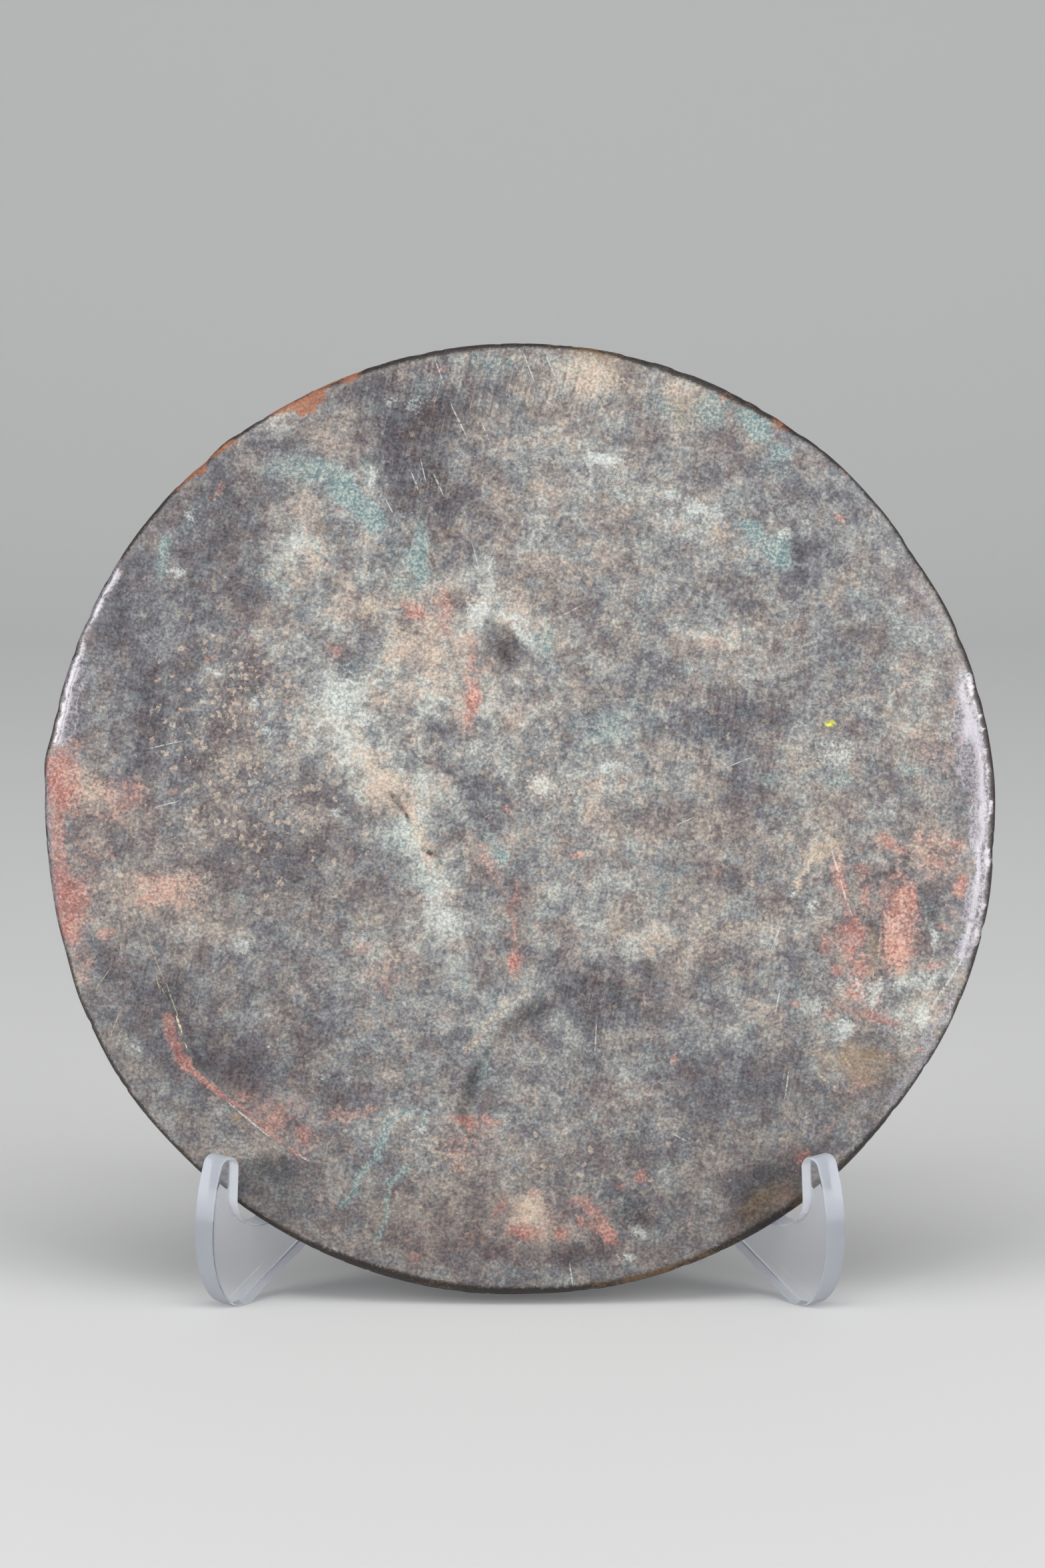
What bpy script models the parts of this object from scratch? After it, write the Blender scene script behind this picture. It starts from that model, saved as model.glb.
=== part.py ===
"""A round bronze mirror standing on a clear two-sheet stand.

The mirror is one casting: a gently crowned face with a rounded edge, and a
back that is a shallow pan inside a low rim. It leans on a stand of two clear
sheets that cross behind it and lock by half-lap slots. Each sheet has a toe
with a finger in front of the mirror, a seat under its edge, an arm behind it
and a rear foot.

Metres, +Z up. The mirror faces -Y. The origin is on the floor, under the
middle of the whole object.
"""

import math

import bmesh
import bpy
from mathutils import Vector

# Mirror
MIRROR_DIAMETER = 0.200
RIM_DEPTH = 0.0040  # front of the edge to the back of the rim
FACE_CROWN = 0.0020  # rise of the face's middle over its edge
PLATE_THICKNESS = 0.0032
RIM_WALL = 0.0050  # width of the low rim round the back
EDGE_ROLL = 0.0030  # width of the rounded edge round most of the face
RIGHT_EDGE_ROLL = 0.0080  # the same where the right-hand edge is worn wider
RIGHT_WEAR_DEG = 75.0  # how far round from the right the wide edge reaches
BACK_ROUND = 0.0019
PAN_FILLET = 0.0012

# Dents and swellings of the outline: angle anticlockwise from the right, half
# width of the stretch in degrees, and how far the edge stands out
OUTLINE_WEAR = (
    (33, 8, -0.00045),
    (49, 8, 0.00025),
    (128, 4, 0.00035),
    (140, 26, 0.00040),
    (173, 4, 0.00060),
    (188, 14, -0.00060),
    (197, 6, -0.00035),
    (214, 10, 0.00030),
    (272, 9, -0.00030),
    (322, 16, -0.00040),
    (357, 8, -0.00035),
)

# How the mirror stands
LEAN_DEG = 11.0
FLOOR_GAP = 0.0021  # between the mirror's lowest point and the floor
SEAT_DEG = 35.3  # place of each seat round the edge, from the bottom
REST_GAP = 0.0003  # left between the mirror and the sheets it rests on
FINGER_PLAY = 0.0005  # between a finger and the mirror's face

# Stand sheets. Lengths of the toe are taken from the back of its finger.
SHEET_THICKNESS = 0.006
SHEET_TURN_DEG = 45.0  # between each sheet and the depth direction
TOE_REACH = 0.0069  # to the toe's foremost point
TOE_BELLY_HEIGHT = 0.0150  # of that point
TOE_HEIGHT = 0.0324  # floor to the top of the finger
FOOT_START = 0.0008  # to where the toe meets the floor
FOOT_END = 0.0034  # to where the arch leaves it
FINGER_TIP_WIDTH = 0.0046
FINGER_TIP_SHARE = 0.53  # radius of the tip's corners as a share of its width
FINGER_TIP_LEAN = 0.0009  # how far the tip stands in over the seat
SEAT_ROUND = 0.0065
ARM_HEIGHT = 0.106
ARM_TOP_WIDTH = 0.0095
ARM_TOP_ROUND = 0.0040
ARM_BASE_WIDTH = 0.0250
ARM_FILLET = 0.016
TAIL_HEIGHT = 0.0380
TAIL_ROUND = 0.014
ARCH_HEIGHT = 0.0165
ARCH_RISE_DEG = 30.5
ARCH_ROUND = 0.020
REAR_RISE_SHARE = 0.6  # run of the arch's rear slope as a share of the front one's
REAR_ARCH_ROUND = 0.010
REAR_REACH = 0.052  # crossing to the heel of the rear foot
REAR_FOOT_LENGTH = 0.0085
REAR_FOOT_ROUND = 0.0025
REAR_END_HEIGHT = 0.0230
REAR_END_ROUND = 0.010
EDGE_EASE = 0.0004
EASE_FROM_DEG = 50.0  # corners sharper than this are eased
SLOT_PLAY = 0.0003

# Fineness of the faceted solids
TURN_STEPS = 120
FACE_RINGS = (0.0, 0.25, 0.5, 0.7, 0.85, 0.94)  # shares of the face's radius
ROLL_STEPS = 7
BACK_ROUND_STEPS = 3
PAN_RINGS = (0.75, 0.4, 0.0)  # shares of the pan's radius
ARC_STEP_DEG = 9.0
SMOOTH_BELOW_DEG = 40.0
SAMPLE_STEP = 0.0006  # between the points of the mirror that a seat is fitted to

RADIUS = MIRROR_DIAMETER / 2
EQUATOR = -(RIM_DEPTH - BACK_ROUND)  # height of the widest ring, behind the face
LEAN = math.radians(LEAN_DEG)
SHEET_TURN = math.radians(SHEET_TURN_DEG)


def clear_scene():
    for obj in list(bpy.data.objects):
        bpy.data.objects.remove(obj, do_unlink=True)


def collection_named(name):
    made = bpy.data.collections.new(name)
    bpy.context.scene.collection.children.link(made)
    return made


def material(name, colour, roughness, metallic, transmission=0.0, ior=1.5):
    made = bpy.data.materials.new(name)
    made.use_nodes = True
    shader = made.node_tree.nodes["Principled BSDF"]
    shader.inputs["Base Color"].default_value = (*colour, 1.0)
    shader.inputs["Roughness"].default_value = roughness
    shader.inputs["Metallic"].default_value = metallic
    shader.inputs["Transmission Weight"].default_value = transmission
    shader.inputs["IOR"].default_value = ior
    return made


def mesh_of(obj, name, dissolve_flat=False):
    """A welded mesh of obj with its modifiers applied. obj is removed."""
    bpy.context.view_layer.update()
    depsgraph = bpy.context.evaluated_depsgraph_get()
    mesh = bpy.data.meshes.new_from_object(obj.evaluated_get(depsgraph))
    mesh.name = name
    bpy.data.objects.remove(obj, do_unlink=True)
    bm = bmesh.new()
    bm.from_mesh(mesh)
    bmesh.ops.remove_doubles(bm, verts=bm.verts, dist=1e-6)
    if dissolve_flat:
        flat = math.radians(0.2)
        bmesh.ops.dissolve_limit(bm, angle_limit=flat, verts=bm.verts, edges=bm.edges)
    bmesh.ops.recalc_face_normals(bm, faces=bm.faces)
    bm.to_mesh(mesh)
    bm.free()
    return mesh


# The mirror's own frame: X to the right, Y up the face, Z out of the face. Its
# origin is in the plane of the face's edge, on the mirror's axis.


def face_height(radius):
    """Height of the crowned face at a distance from its middle."""
    return FACE_CROWN * (1 - (radius / (RADIUS - EDGE_ROLL)) ** 2)


def mirror_profile():
    """Half section (radius, height) from the middle of the face round the edge
    to the middle of the back."""
    face_radius = RADIUS - EDGE_ROLL
    face = []
    for share in FACE_RINGS:
        face.append((face_radius * share, face_height(face_radius * share)))
    edge = []
    for step in range(ROLL_STEPS + 1):
        turn = math.pi / 2 * step / ROLL_STEPS
        edge.append((face_radius + EDGE_ROLL * math.sin(turn), EQUATOR * (1 - math.cos(turn))))
    back_edge = []
    for step in range(1, BACK_ROUND_STEPS + 1):
        turn = math.pi / 2 * step / BACK_ROUND_STEPS
        radius = RADIUS - BACK_ROUND * (1 - math.cos(turn))
        back_edge.append((radius, EQUATOR - BACK_ROUND * math.sin(turn)))
    pan_radius = RADIUS - RIM_WALL
    pan = []
    for radius in (pan_radius - 2 * PAN_FILLET, *(pan_radius * share for share in PAN_RINGS)):
        pan.append((radius, face_height(radius) - PLATE_THICKNESS))
    rim = [
        (pan_radius, -RIM_DEPTH),
        (pan_radius - PAN_FILLET, (pan[0][1] - RIM_DEPTH) / 2),
    ]
    return face + edge + back_edge + rim + pan


def bump(angle_deg, centre_deg, half_width_deg):
    """A smooth hump round centre_deg, 1 at its middle and 0 past its half width."""
    apart = abs((angle_deg - centre_deg + 180) % 360 - 180)
    if apart >= half_width_deg:
        return 0.0
    return 0.5 + 0.5 * math.cos(math.pi * apart / half_width_deg)


def edge_roll(angle_deg):
    """Width of the rounded edge, which is wider on the right."""
    wider = bump(angle_deg, 0, RIGHT_WEAR_DEG)
    return EDGE_ROLL + (RIGHT_EDGE_ROLL - EDGE_ROLL) * wider


def outline_growth(angle_deg):
    """How far the outline stands out of the true circle."""
    return sum(depth * bump(angle_deg, centre, half) for centre, half, depth in OUTLINE_WEAR)


def worn_radius(radius, height, roll, growth):
    """Where a point of the true turned mirror lies on the worn one."""
    from_edge = RADIUS - radius
    if height > EQUATOR and height > face_height(radius) - PLATE_THICKNESS / 2:
        if from_edge < EDGE_ROLL:
            from_edge *= roll / EDGE_ROLL
        else:
            inside = (from_edge - EDGE_ROLL) / (RADIUS - EDGE_ROLL)
            from_edge = roll + inside * (RADIUS - roll)
    return (RADIUS - from_edge) * (1 + growth / RADIUS)


def lower_samples():
    """Closely spaced points of the worn mirror's lower half, in its own frame."""
    profile = mirror_profile()
    fine = []
    for (r0, z0), (r1, z1) in zip(profile, profile[1:]):
        pieces = max(1, math.ceil(math.hypot(r1 - r0, z1 - z0) / SAMPLE_STEP))
        for piece in range(pieces):
            share = piece / pieces
            fine.append((r0 + (r1 - r0) * share, z0 + (z1 - z0) * share))
    steps = math.ceil(math.pi * RADIUS / SAMPLE_STEP)
    samples = []
    for step in range(steps + 1):
        angle = math.pi + math.pi * step / steps
        angle_deg = math.degrees(angle)
        roll = edge_roll(angle_deg)
        growth = outline_growth(angle_deg)
        for radius, height in fine:
            moved = worn_radius(radius, height, roll, growth)
            samples.append(Vector((moved * math.cos(angle), moved * math.sin(angle), height)))
    return samples


def leaned(point):
    """A point of the mirror's frame turned as the mirror stands."""
    up = point.y * math.cos(LEAN) + point.z * math.sin(LEAN)
    return Vector((point.x, point.y * math.sin(LEAN) - point.z * math.cos(LEAN), up))


def make_mirror(bronze, home, location):
    mesh = bpy.data.meshes.new("mirror_profile")
    profile = mirror_profile()
    points = [(radius, 0, height) for radius, height in profile]
    mesh.from_pydata(points, [(i, i + 1) for i in range(len(points) - 1)], [])
    turned = bpy.data.objects.new("turned_mirror", mesh)
    home.objects.link(turned)
    screw = turned.modifiers.new("Turn", "SCREW")
    screw.steps = TURN_STEPS
    screw.render_steps = TURN_STEPS
    screw.use_merge_vertices = True
    screw.merge_threshold = 1e-5
    mesh = mesh_of(turned, "mirror_disc")
    for vertex in mesh.vertices:
        x, y, height = vertex.co
        radius = math.hypot(x, y)
        if radius > 1e-6:
            angle_deg = math.degrees(math.atan2(y, x))
            moved = worn_radius(radius, height, edge_roll(angle_deg), outline_growth(angle_deg))
            vertex.co = (x * moved / radius, y * moved / radius, height)
    mesh.shade_smooth()
    mesh.set_sharp_from_angle(angle=math.radians(SMOOTH_BELOW_DEG))
    mesh.materials.append(bronze)
    mirror = bpy.data.objects.new("mirror_disc", mesh)
    mirror.location = location
    mirror.rotation_euler = (math.pi / 2 - LEAN, 0, 0)
    home.objects.link(mirror)


# A sheet's own frame: X along it from front to back, Y up from the floor, Z
# across its thickness. Its origin is on the floor where the sheets cross.


def rounded_outline(corners):
    """The closed outline through corners (x, y, radius), each turned into an arc."""
    outline = []
    for i, (x, y, radius) in enumerate(corners):
        corner = Vector((x, y))
        before = (Vector(corners[i - 1][:2]) - corner).normalized()
        after = (Vector(corners[(i + 1) % len(corners)][:2]) - corner).normalized()
        opening = before.angle(after)
        if radius <= 0 or math.pi - opening < 1e-3:
            outline.append(corner)
            continue
        start = corner + before * (radius / math.tan(opening / 2))
        middle = corner + (before + after).normalized() * (radius / math.sin(opening / 2))
        sweep = math.pi - opening
        if before.x * after.y - before.y * after.x > 0:
            sweep = -sweep
        steps = max(2, math.ceil(abs(math.degrees(sweep)) / ARC_STEP_DEG))
        arm = start - middle
        for step in range(steps + 1):
            turn = sweep * step / steps
            turned = (
                arm.x * math.cos(turn) - arm.y * math.sin(turn),
                arm.x * math.sin(turn) + arm.y * math.cos(turn),
            )
            outline.append(middle + Vector(turned))
    return outline


def along_sheet(point, crossing_y):
    """A point of the object in the frame of the sheet on its own side."""
    aside = abs(point.x)
    depth = point.y - crossing_y
    return Vector(
        (
            depth * math.cos(SHEET_TURN) - aside * math.sin(SHEET_TURN),
            point.z,
            depth * math.sin(SHEET_TURN) + aside * math.cos(SHEET_TURN),
        )
    )


def fit_seat(samples, crossing_y):
    """Where a sheet goes round the mirror: the back of its finger, the height of
    its seat, and the arm's front line as its foot at floor level and its slope."""
    half = SHEET_THICKNESS / 2 + REST_GAP
    near = [along_sheet(sample, crossing_y) for sample in samples]
    near = [p for p in near if abs(p.z) <= half and p.x < 0 and p.y < ARM_HEIGHT]
    finger_back = min(p.x for p in near if p.y < TOE_HEIGHT) - FINGER_PLAY
    slope = math.tan(LEAN) / math.cos(SHEET_TURN)
    wall_foot = max(p.x - slope * p.y for p in near) + REST_GAP
    arc_reach = SEAT_ROUND * math.tan((math.pi / 2 - math.atan(slope)) / 2)
    front_centre = finger_back + SEAT_ROUND
    seat_height = min(p.y for p in near) - SEAT_ROUND
    for _ in range(6):
        wall_foot = max(wall_foot, front_centre + arc_reach - slope * seat_height)
        back_centre = wall_foot + slope * seat_height - arc_reach
        clear = []
        for p in near:
            past = max(front_centre - p.x, p.x - back_centre, 0.0)
            if past < SEAT_ROUND:
                clear.append(p.y - SEAT_ROUND + math.sqrt(SEAT_ROUND**2 - past**2))
        seat_height = min(clear) - REST_GAP
    return finger_back, seat_height, wall_foot, slope


def slot_width():
    """What the other sheet takes up along this one, with play."""
    crossing = 2 * SHEET_TURN
    along = (1 + abs(math.cos(crossing))) / math.sin(crossing)
    return SHEET_THICKNESS * along + 2 * SLOT_PLAY


def toe_curve(finger_back):
    """The toe's front from the floor to the finger: two quarters of ellipses
    that meet at its foremost point."""
    middle = finger_back + FOOT_START
    half_length = FOOT_START + TOE_REACH
    tip_round = FINGER_TIP_WIDTH * FINGER_TIP_SHARE
    finger_front = middle - finger_back - FINGER_TIP_LEAN + FINGER_TIP_WIDTH
    curve_end = TOE_HEIGHT - 2 * tip_round
    share = (finger_front + half_length) / 2 / half_length
    upper = (curve_end - TOE_BELLY_HEIGHT) / math.sqrt(1 - share**2)
    points = []
    steps = round(90 / ARC_STEP_DEG)
    for step in range(steps + 1):
        turn = math.pi / 2 * step / steps
        x = middle - half_length * math.sin(turn)
        points.append((x, TOE_BELLY_HEIGHT * (1 - math.cos(turn)), 0))
    last = math.asin((curve_end - TOE_BELLY_HEIGHT) / upper)
    steps = round(math.degrees(last) / ARC_STEP_DEG)
    for step in range(1, steps + 1):
        turn = last * step / steps
        x = middle - half_length * math.cos(turn)
        points.append((x, TOE_BELLY_HEIGHT + upper * math.sin(turn), 0))
    return points


def sheet_corners(seat, slot_from_top):
    finger_back, seat_height, wall_foot, slope = seat
    seat_corner = wall_foot + slope * seat_height
    arm_top = wall_foot + slope * ARM_HEIGHT
    tip_back = finger_back + FINGER_TIP_LEAN
    tip_round = FINGER_TIP_WIDTH * FINGER_TIP_SHARE
    arch_rise = ARCH_HEIGHT / math.tan(math.radians(ARCH_RISE_DEG))
    foot_front = REAR_REACH - REAR_FOOT_LENGTH
    arch_back = foot_front - arch_rise * REAR_RISE_SHARE
    half_slot = slot_width() / 2
    slot_end = (ARCH_HEIGHT + TAIL_HEIGHT) / 2
    slot_end += SLOT_PLAY / 2 * (-1 if slot_from_top else 1)
    slot_top = [
        (-half_slot, TAIL_HEIGHT, 0),
        (-half_slot, slot_end, 0),
        (half_slot, slot_end, 0),
        (half_slot, TAIL_HEIGHT, 0),
    ]
    slot_bottom = [
        (half_slot, ARCH_HEIGHT, 0),
        (half_slot, slot_end, 0),
        (-half_slot, slot_end, 0),
        (-half_slot, ARCH_HEIGHT, 0),
    ]
    return [
        *toe_curve(finger_back),
        (tip_back - FINGER_TIP_WIDTH, TOE_HEIGHT, tip_round),
        (tip_back, TOE_HEIGHT, tip_round),
        (finger_back, seat_height, SEAT_ROUND),
        (seat_corner, seat_height, SEAT_ROUND),
        (arm_top, ARM_HEIGHT, ARM_TOP_ROUND),
        (arm_top + ARM_TOP_WIDTH, ARM_HEIGHT, ARM_TOP_ROUND),
        (seat_corner + ARM_BASE_WIDTH, TAIL_HEIGHT, ARM_FILLET),
        *(slot_top if slot_from_top else []),
        (foot_front, TAIL_HEIGHT, TAIL_ROUND),
        (REAR_REACH, REAR_END_HEIGHT, REAR_END_ROUND),
        (REAR_REACH, 0, REAR_FOOT_ROUND),
        (foot_front, 0, REAR_FOOT_ROUND),
        (arch_back, ARCH_HEIGHT, REAR_ARCH_ROUND),
        *([] if slot_from_top else slot_bottom),
        (finger_back + FOOT_END + arch_rise, ARCH_HEIGHT, ARCH_ROUND),
        (finger_back + FOOT_END, 0, REAR_FOOT_ROUND),
    ]


def make_sheet(name, corners, turn, acrylic, home, location):
    curve = bpy.data.curves.new(name + "_outline", "CURVE")
    curve.dimensions = "2D"
    curve.fill_mode = "BOTH"
    curve.extrude = SHEET_THICKNESS / 2
    outline = rounded_outline(corners)
    spline = curve.splines.new("POLY")
    spline.points.add(len(outline) - 1)
    for target, point in zip(spline.points, outline):
        target.co = (point.x, point.y, 0, 1)
    spline.use_cyclic_u = True
    blank = bpy.data.objects.new(name + "_blank", curve)
    home.objects.link(blank)
    mesh = mesh_of(blank, name, dissolve_flat=True)
    mesh.materials.append(acrylic)
    sheet = bpy.data.objects.new(name, mesh)
    sheet.location = location
    sheet.rotation_euler = (math.pi / 2, 0, turn)
    home.objects.link(sheet)
    ease = sheet.modifiers.new("Eased edges", "BEVEL")
    ease.width = EDGE_EASE
    ease.segments = 1
    ease.limit_method = "ANGLE"
    ease.angle_limit = math.radians(EASE_FROM_DEG)


def main():
    clear_scene()
    home = collection_named("bronze_mirror_on_stand")
    bronze = material("patinated_bronze", (0.30, 0.29, 0.28), 0.62, 0.25)
    acrylic = material("clear_acrylic", (0.90, 0.93, 0.97), 0.08, 0.0, 1.0, 1.49)

    samples = [leaned(point) for point in lower_samples()]
    lift = FLOOR_GAP - min(point.z for point in samples)
    samples = [point + Vector((0, 0, lift)) for point in samples]

    # Each sheet's middle passes under the widest ring of the edge at SEAT_DEG
    # from its bottom, which says how far behind the mirror the sheets cross.
    seat_angle = math.radians(SEAT_DEG)
    seat_aside = RADIUS * math.sin(seat_angle)
    seat_depth = leaned(Vector((0, -RADIUS * math.cos(seat_angle), EQUATOR))).y
    crossing_y = seat_depth + seat_aside / math.tan(SHEET_TURN)
    seat = fit_seat(samples, crossing_y)

    # Depth of the whole object, so that the origin comes under its middle
    half_sheet = SHEET_THICKNESS / 2 * math.sin(SHEET_TURN)
    toe_front = crossing_y + (seat[0] - TOE_REACH) * math.cos(SHEET_TURN) - half_sheet
    heel_back = crossing_y + REAR_REACH * math.cos(SHEET_TURN) + half_sheet
    middle = (toe_front + heel_back) / 2

    make_mirror(bronze, home, (0, -middle, lift))
    crossing = (0, crossing_y - middle, 0)
    left_turn = math.pi / 2 - SHEET_TURN
    right_turn = math.pi / 2 + SHEET_TURN
    left_corners = sheet_corners(seat, slot_from_top=True)
    right_corners = sheet_corners(seat, slot_from_top=False)
    make_sheet("stand_sheet_left", left_corners, left_turn, acrylic, home, crossing)
    make_sheet("stand_sheet_right", right_corners, right_turn, acrylic, home, crossing)


main()
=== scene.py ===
import math

import bmesh
import bpy
import numpy as np
from mathutils import Matrix, Vector


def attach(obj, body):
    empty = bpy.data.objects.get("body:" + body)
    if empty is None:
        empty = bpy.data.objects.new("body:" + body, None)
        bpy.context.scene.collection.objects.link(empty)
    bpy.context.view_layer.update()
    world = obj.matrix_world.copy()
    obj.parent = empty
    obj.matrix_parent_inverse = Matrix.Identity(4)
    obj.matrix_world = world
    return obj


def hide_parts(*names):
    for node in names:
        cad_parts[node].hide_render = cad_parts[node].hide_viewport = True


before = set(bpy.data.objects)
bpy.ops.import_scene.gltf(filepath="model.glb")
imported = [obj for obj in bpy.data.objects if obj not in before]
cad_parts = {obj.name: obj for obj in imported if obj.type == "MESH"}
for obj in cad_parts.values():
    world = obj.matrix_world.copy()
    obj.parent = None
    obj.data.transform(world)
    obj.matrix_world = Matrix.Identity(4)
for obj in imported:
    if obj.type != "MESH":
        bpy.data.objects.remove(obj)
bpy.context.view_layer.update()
print("frame loaded")


# small helpers for colours and nodes

def paint(red, green, blue):
    # an everyday 0-255 colour as the linear one that a shader takes
    shares = [level / 255 for level in (red, green, blue)]
    linear = [s / 12.92 if s <= 0.04045 else ((s + 0.055) / 1.055) ** 2.4 for s in shares]
    return (*linear, 1.0)


def addNode(tree, kind, inputs=None, **settings):
    made = tree.nodes.new("ShaderNode" + kind)
    for name, value in settings.items():
        setattr(made, name, value)
    for name, value in (inputs or {}).items():
        if isinstance(value, bpy.types.NodeSocket):
            tree.links.new(value, made.inputs[name])
        else:
            made.inputs[name].default_value = value
    return made


def mathOf(tree, operation, first, second=0.0, clamp=False):
    inputs = {0: first, 1: second}
    return addNode(tree, "Math", inputs, operation=operation, use_clamp=clamp).outputs[0]


def vectorOf(tree, operation, first, second=(0, 0, 0)):
    made = addNode(tree, "VectorMath", {0: first, 1: second}, operation=operation)
    single = operation in ("LENGTH", "DOT_PRODUCT", "DISTANCE")
    return made.outputs["Value" if single else "Vector"]


def blendColours(tree, share, under, over, mode="MIX"):
    inputs = {0: share, 6: under, 7: over}
    made = addNode(tree, "Mix", inputs, data_type="RGBA", blend_type=mode)
    return made.outputs[2]


def blendValues(tree, share, under, over):
    return addNode(tree, "Mix", {0: share, 2: under, 3: over}, data_type="FLOAT").outputs[0]


def spread(tree, value, low, high, toLow=0.0, toHigh=1.0):
    # value between low and high, eased, as a share between toLow and toHigh
    inputs = {"Value": value, "From Min": low, "From Max": high, "To Min": toLow, "To Max": toHigh}
    return addNode(tree, "MapRange", inputs, interpolation_type="SMOOTHSTEP").outputs[0]


def rampOf(tree, value, stops):
    made = addNode(tree, "ValToRGB", {"Fac": value})
    steps = made.color_ramp.elements
    while len(steps) < len(stops):
        steps.new(0.5)
    for step, (place, colour) in zip(steps, stops):
        step.position, step.color = place, colour
    return made.outputs["Color"]


def newGroup(name, inputs, outputs):
    tree = bpy.data.node_groups.new(name, "ShaderNodeTree")
    for socketName, kind, value in inputs:
        socket = tree.interface.new_socket(socketName, in_out="INPUT", socket_type=kind)
        if value is not None:
            socket.default_value = value
    for socketName, kind in outputs:
        tree.interface.new_socket(socketName, in_out="OUTPUT", socket_type=kind)
    return tree, tree.nodes.new("NodeGroupInput"), tree.nodes.new("NodeGroupOutput")


def useGroup(tree, group, inputs):
    made = tree.nodes.new("ShaderNodeGroup")
    made.node_tree = group
    for name, value in inputs.items():
        if isinstance(value, bpy.types.NodeSocket):
            tree.links.new(value, made.inputs[name])
        else:
            made.inputs[name].default_value = value
    return made.outputs[0]


# node groups for what more than one finish shows

def makeSpeckleGroup():
    # soft specks cut out of a noise: more of them as the amount goes from 0 to 1
    tree, given, result = newGroup(
        "speckle",
        [
            ("Noise", "NodeSocketFloat", 0.5),
            ("Amount", "NodeSocketFloat", 0.5),
            ("Softness", "NodeSocketFloat", 0.08),
        ],
        [("Mask", "NodeSocketFloat")],
    )
    # noise lies mostly between 0.3 and 0.7, so the amount is spread over that
    inputs = {0: given.outputs["Amount"], 1: -0.44, 2: 0.72}
    edge = addNode(tree, "Math", inputs, operation="MULTIPLY_ADD").outputs[0]
    low = mathOf(tree, "SUBTRACT", edge, given.outputs["Softness"])
    high = mathOf(tree, "ADD", edge, given.outputs["Softness"])
    tree.links.new(spread(tree, given.outputs["Noise"], low, high), result.inputs["Mask"])
    return tree


def makeScratchGroup():
    # fine lines that run one way, broken up along their length
    tree, given, result = newGroup(
        "fineScratches",
        [
            ("Position", "NodeSocketVector", None),
            ("Turn", "NodeSocketFloat", 0.0),
            ("Length", "NodeSocketFloat", 12.0),
            ("Width", "NodeSocketFloat", 0.2),
            ("Amount", "NodeSocketFloat", 0.3),
        ],
        [("Mask", "NodeSocketFloat")],
    )
    inputs = {"Vector": given.outputs["Position"], "Angle": given.outputs["Turn"]}
    turned = addNode(tree, "VectorRotate", inputs, rotation_type="Z_AXIS").outputs[0]
    parts = addNode(tree, "SeparateXYZ", {0: turned})
    along = mathOf(tree, "DIVIDE", parts.outputs[0], given.outputs["Length"])
    across = mathOf(tree, "DIVIDE", parts.outputs[1], given.outputs["Width"])
    drawn = addNode(tree, "CombineXYZ", {0: along, 1: across, 2: parts.outputs[2]}).outputs[0]
    inputs = {"Vector": drawn, "Scale": 1.0, "Detail": 1.0, "Roughness": 0.4}
    streak = addNode(tree, "TexNoise", inputs).outputs["Fac"]
    inputs = {0: given.outputs["Amount"], 1: -0.3, 2: 0.82}
    edge = addNode(tree, "Math", inputs, operation="MULTIPLY_ADD").outputs[0]
    high = mathOf(tree, "ADD", edge, 0.07)
    tree.links.new(spread(tree, streak, edge, high), result.inputs["Mask"])
    return tree


def makeRaggedGroup():
    # a soft painted mask, given a ragged edge by noise
    tree, given, result = newGroup(
        "raggedPatch",
        [
            ("Mask", "NodeSocketFloat", 0.0),
            ("Noise", "NodeSocketFloat", 0.5),
            ("Ragged", "NodeSocketFloat", 1.0),
            ("Softness", "NodeSocketFloat", 0.12),
        ],
        [("Mask", "NodeSocketFloat")],
    )
    swing = mathOf(tree, "SUBTRACT", given.outputs["Noise"], 0.5)
    swing = mathOf(tree, "MULTIPLY", swing, given.outputs["Ragged"])
    broken = mathOf(tree, "ADD", given.outputs["Mask"], swing)
    low = mathOf(tree, "SUBTRACT", 0.5, given.outputs["Softness"])
    high = mathOf(tree, "ADD", 0.5, given.outputs["Softness"])
    shown = spread(tree, broken, low, high)
    there = spread(tree, given.outputs["Mask"], 0.02, 0.12)
    tree.links.new(mathOf(tree, "MULTIPLY", shown, there), result.inputs["Mask"])
    return tree


speckleGroup = makeSpeckleGroup()
scratchGroup = makeScratchGroup()
raggedGroup = makeRaggedGroup()
print("node groups made")


# the mirror

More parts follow.
